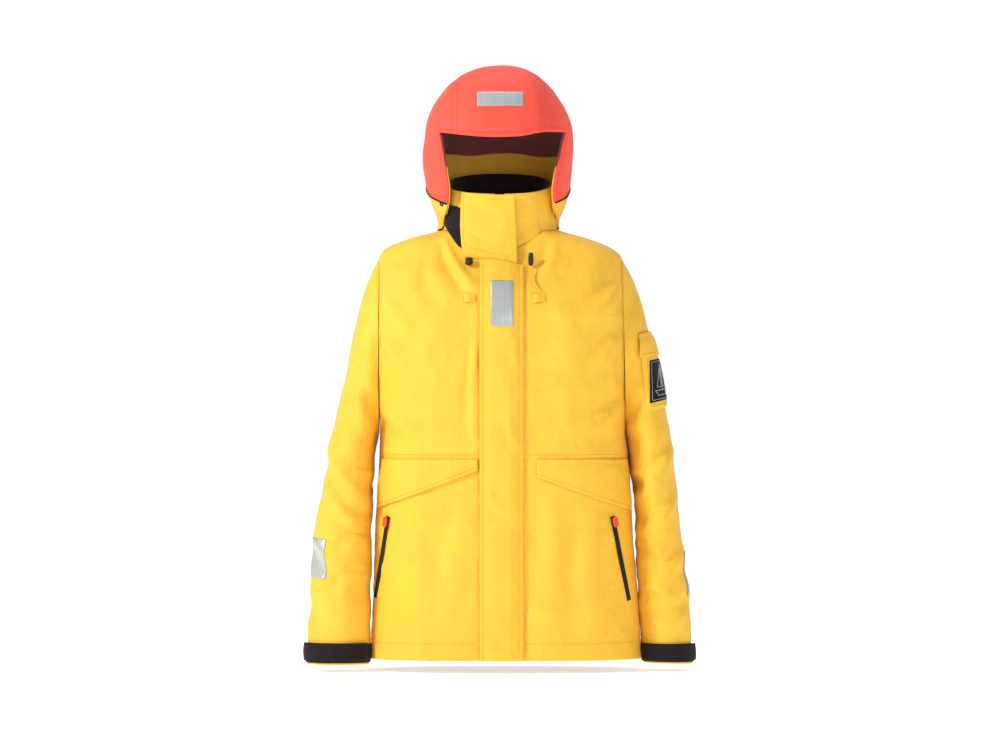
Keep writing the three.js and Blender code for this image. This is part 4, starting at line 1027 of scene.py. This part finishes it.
badge_line("badge_mast", [(0.52, 0.14), (0.52, 0.74)])
badge_line("badge_sail", [(0.56, 0.16), (0.8, 0.66), (0.56, 0.66), (0.56, 0.16)])
badge_line("badge_jib", [(0.47, 0.22), (0.24, 0.66), (0.47, 0.66), (0.47, 0.22)])
badge_line("badge_hull", [(0.18, 0.74), (0.84, 0.74), (0.72, 0.86), (0.3, 0.86), (0.18, 0.74)])
badge_line("badge_frame", [(0.07, 0.05), (0.93, 0.05), (0.93, 0.95), (0.07, 0.95), (0.07, 0.05)], 0.35)

w, k = spread(0, 1, 56, 0, 1, 22)
z = mix(577, 534 - 3 * w, k)
pts = sleeve_patch(w, z, np.full_like(z, 243.0), 30, 3.4 + 4.4 * smooth(k / 0.5))
cloth = shell_mesh("cloth_sleeve_flap", pts, "yellow", "sleeve_pocket_flap", ("sleeve_pocket_flap",), 2.0,
                   outward=outer)
declare_sheet(pts)
w = np.linspace(0.04, 0.96, 160)
z = 539 - 3 * w
stitches("stitch_sleeve_flap", sleeve_patch(w, z, np.full_like(z, 243.0), 30, 8.0), "thread", "sleeve_pocket_flap")


# ------------------------------------------------------------------ zips, cords, trim
def cad_points(name):
    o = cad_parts[name]
    m = np.array(o.matrix_world)
    v = np.array([list(q.co) for q in o.data.vertices])
    return (v @ m[:3, :3].T + m[:3, 3]) * 1000 - SHIFT


def teeth(name, line, out, width, pitch, height):
    """Moulded zip teeth along a line, standing out from it and set left and right in turn."""
    line, out = np.asarray(line, float), np.asarray(out, float)
    d = travelled(line)
    count = int(d[-1] / pitch)
    verts, faces = [], []
    for k in range(count):
        s = (k + 0.5) * pitch
        c = np.array([np.interp(s, d, line[:, q]) for q in range(3)])
        c2 = np.array([np.interp(s + 0.5, d, line[:, q]) for q in range(3)])
        n = np.array([np.interp(s, d, out[:, q]) for q in range(3)])
        n /= np.linalg.norm(n)
        al = (c2 - c) / max(np.linalg.norm(c2 - c), 1e-6)
        r = np.cross(al, n)
        shift = (0.35 if k % 2 else -0.35) * width / 2
        base = len(verts)
        for h, grow in ((0, 1.0), (height * 0.6, 0.92), (height, 0.6)):
            for u, v in ((-1, -1), (1, -1), (1, 1), (-1, 1)):
                verts.append(c + r * (shift + u * width * 0.36 * grow) + al * v * pitch * 0.36 * grow + n * h)
        for lvl in (0, 4):
            for q in range(4):
                faces.append((base + lvl + q, base + lvl + (q + 1) % 4, base + lvl + 4 + (q + 1) % 4,
                              base + lvl + 4 + q))
        faces += [(base + 3, base + 2, base + 1, base), tuple(base + 8 + q for q in range(4))]
    return make(name, np.array(verts), faces, "plastic", "jacket")


for hand in ("right", "left"):
    p = cad_points(f"pocket_zip_{hand}")
    c = p.mean(0)
    _, _, vt = np.linalg.svd(p - c)
    along, _, out = vt
    if out[1] > 0:
        out = -out
    if along[2] < 0:
        along = -along
    s = (p - c) @ along
    line = c + along * np.linspace(s.min() + 2, s.max() - 2, 60)[:, None] + out * 0.85
    teeth(f"zip_teeth_{hand}", line, np.tile(out, (60, 1)), 4.0, 1.5, 0.7)
z = np.concatenate([np.linspace(6, 600, 60), np.linspace(604, 698, 50)])
p = front(np.full_like(z, MIDDLE), z, 0.3, 0)
teeth("zip_teeth_main", p, front(np.full_like(z, MIDDLE), z, 1.3, 0) - p, 4.6, 2.4, 0.5)
t = np.linspace(0.07, 0.97, 60)
p = collar_front(np.full_like(t, MIDDLE), t, 0.7, 0)
teeth("zip_teeth_collar", p, collar_front(np.full_like(t, MIDDLE), t, 1.7, 0) - p, 4.6, 2.4, 0.4)

for name, (x0, x1) in (("right", (-66, -42)), ("left", (54, 80))):
    side = -1 if name == "right" else 1
    w, v = spread(0, 1, 30, 0, 1, 12)
    x = mix(x0, x1, w)
    z = mix(627, 642, v) + side * 3 * (w - 0.5)
    roll = 1.2 + 3.0 * np.sin(PI * np.clip(w * 1.1, 0, 1)) ** 2
    shell_mesh(f"tab_chest_{name}", front(x, z, roll), "yellow", "jacket", (f"chest_tab_{name}",), 1.6,
               outward=FORWARD)
    for k, q in enumerate((0.08, 0.92)):
        z = np.linspace(629, 640, 16)
        stitches(f"stitch_tab_{name}_{k}", front(np.full(16, mix(x0, x1, q)), z, 1.9), "thread", "jacket")


def turned(name, centre, profile, depth, node):
    """A small moulding turned about the Z axis, its Y scaled by depth."""
    q = np.linspace(0, 2 * PI, 28, endpoint=False)
    rings = np.array([[[r * math.cos(g), depth * r * math.sin(g), h] for g in q] for r, h in profile]) + centre
    make(name, rings.reshape(-1, 3), grid_faces(len(profile), 28, True), "plastic", "jacket", (node,))


LOCK = [(0, -7.2), (3.8, -7.0), (6.3, -5.0), (6.9, -1.5), (5.9, -0.4), (6.9, 0.8), (6.4, 4.2), (4.0, 6.2), (0, 6.6)]
CORD_END = [(0, 11.6), (2.6, 11.4), (4.0, 9.5), (4.5, 5), (4.4, -5), (3.6, -9.6), (2.2, -11.3), (0, -11.5)]
turned("lock_right", front(np.array(-54.0), np.array(695.0), 10, 0), LOCK, 1, "cord_lock_right")
turned("cord_tip_left", front(np.array(54.0), np.array(699.0), 9, 0), CORD_END, 0.8, "cord_end_left")
k = np.linspace(0, 1, 40)
x = 54 + 4 * k + 9 * k ** 3
z = 688 - 38 * k
drop = front(x, z, 4.6 + 4 * (1 - k) ** 3)
cord = tube("cord_left", drop, 1.5, "cord", "jacket", 10, replaces=("drawcord_left",))

KEEP = {"main_zip_tape_right": "tape", "main_zip_tape_left": "tape", "main_zip_chain": "tape",
        "collar_zip_chain": "tape", "main_slider_lower": "metal", "main_slider_upper": "metal",
        "main_pull_lower": "plastic", "main_pull_upper": "plastic", "pocket_zip_right": "tape",
        "pocket_zip_left": "tape", "pocket_slider_right": "metal", "pocket_slider_left": "metal",
        "pocket_pull_right": "pull", "pocket_pull_left": "pull", "hanger_loop": "webbing"}
for name, mat in KEEP.items():
    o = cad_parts[name]
    o.data.materials.clear()
    o.data.materials.append(MAT[mat])
    bevel = o.modifiers.new("edges", "BEVEL")
    bevel.width = 0.0003
    bevel.segments = 2
    bevel.limit_method = "ANGLE"

# ------------------------------------------------------------------ stage, light, camera
scene = bpy.context.scene
scene.view_settings.view_transform = "Standard"
scene.view_settings.look = "None"
world = bpy.data.worlds.new("studio")
scene.world = world
world.use_nodes = True
sky = world.node_tree.nodes["Background"]
sky.inputs["Color"].default_value = (1, 1, 1, 1)
path = world.node_tree.nodes.new("ShaderNodeLightPath")
brightness = world.node_tree.nodes.new("ShaderNodeMapRange")
brightness.inputs["To Min"].default_value = 0.46
brightness.inputs["To Max"].default_value = 1.0
world.node_tree.links.new(path.outputs["Is Camera Ray"], brightness.inputs["Value"])
world.node_tree.links.new(brightness.outputs[0], sky.inputs["Strength"])

bpy.ops.mesh.primitive_plane_add(size=60, location=(0, 1.0, -0.785))
floor = bpy.context.object
floor.name = "floor"
pale = bpy.data.materials.new("floor_pale")
pale.use_nodes = True
for key, value in (("Base Color", (0.9, 0.9, 0.9, 1)), ("Roughness", 0.9), ("Emission Color", (1, 1, 1, 1)),
                   ("Emission Strength", 0.60)):
    pale.node_tree.nodes["Principled BSDF"].inputs[key].default_value = value
floor.data.materials.append(pale)


LAMP_AIM = Vector((0, 0, -0.3))


def lamp(name, place, size, power):
    data = bpy.data.lights.new(name, "AREA")
    data.shape = "DISK"
    data.size = size
    data.energy = power
    o = bpy.data.objects.new(name, data)
    o.location = place
    o.rotation_euler = (LAMP_AIM - Vector(place)).to_track_quat("-Z", "Y").to_euler()
    scene.collection.objects.link(o)


lamp("key", (-3.3, -2.0, 1.9), 0.9, 128)
lamp("fill", (1.6, -3.9, 0.3), 2.4, 24)
lamp("top", (0.2, 0.6, 2.6), 1.8, 22)

cam = bpy.data.cameras.new("camera")
cam.lens = 200
cam.sensor_width = 36
eye = bpy.data.objects.new("camera", cam)
eye.location = (0.0, -9.92, -0.245)
eye.rotation_euler = (math.radians(90), 0, 0)
scene.collection.objects.link(eye)
scene.camera = eye
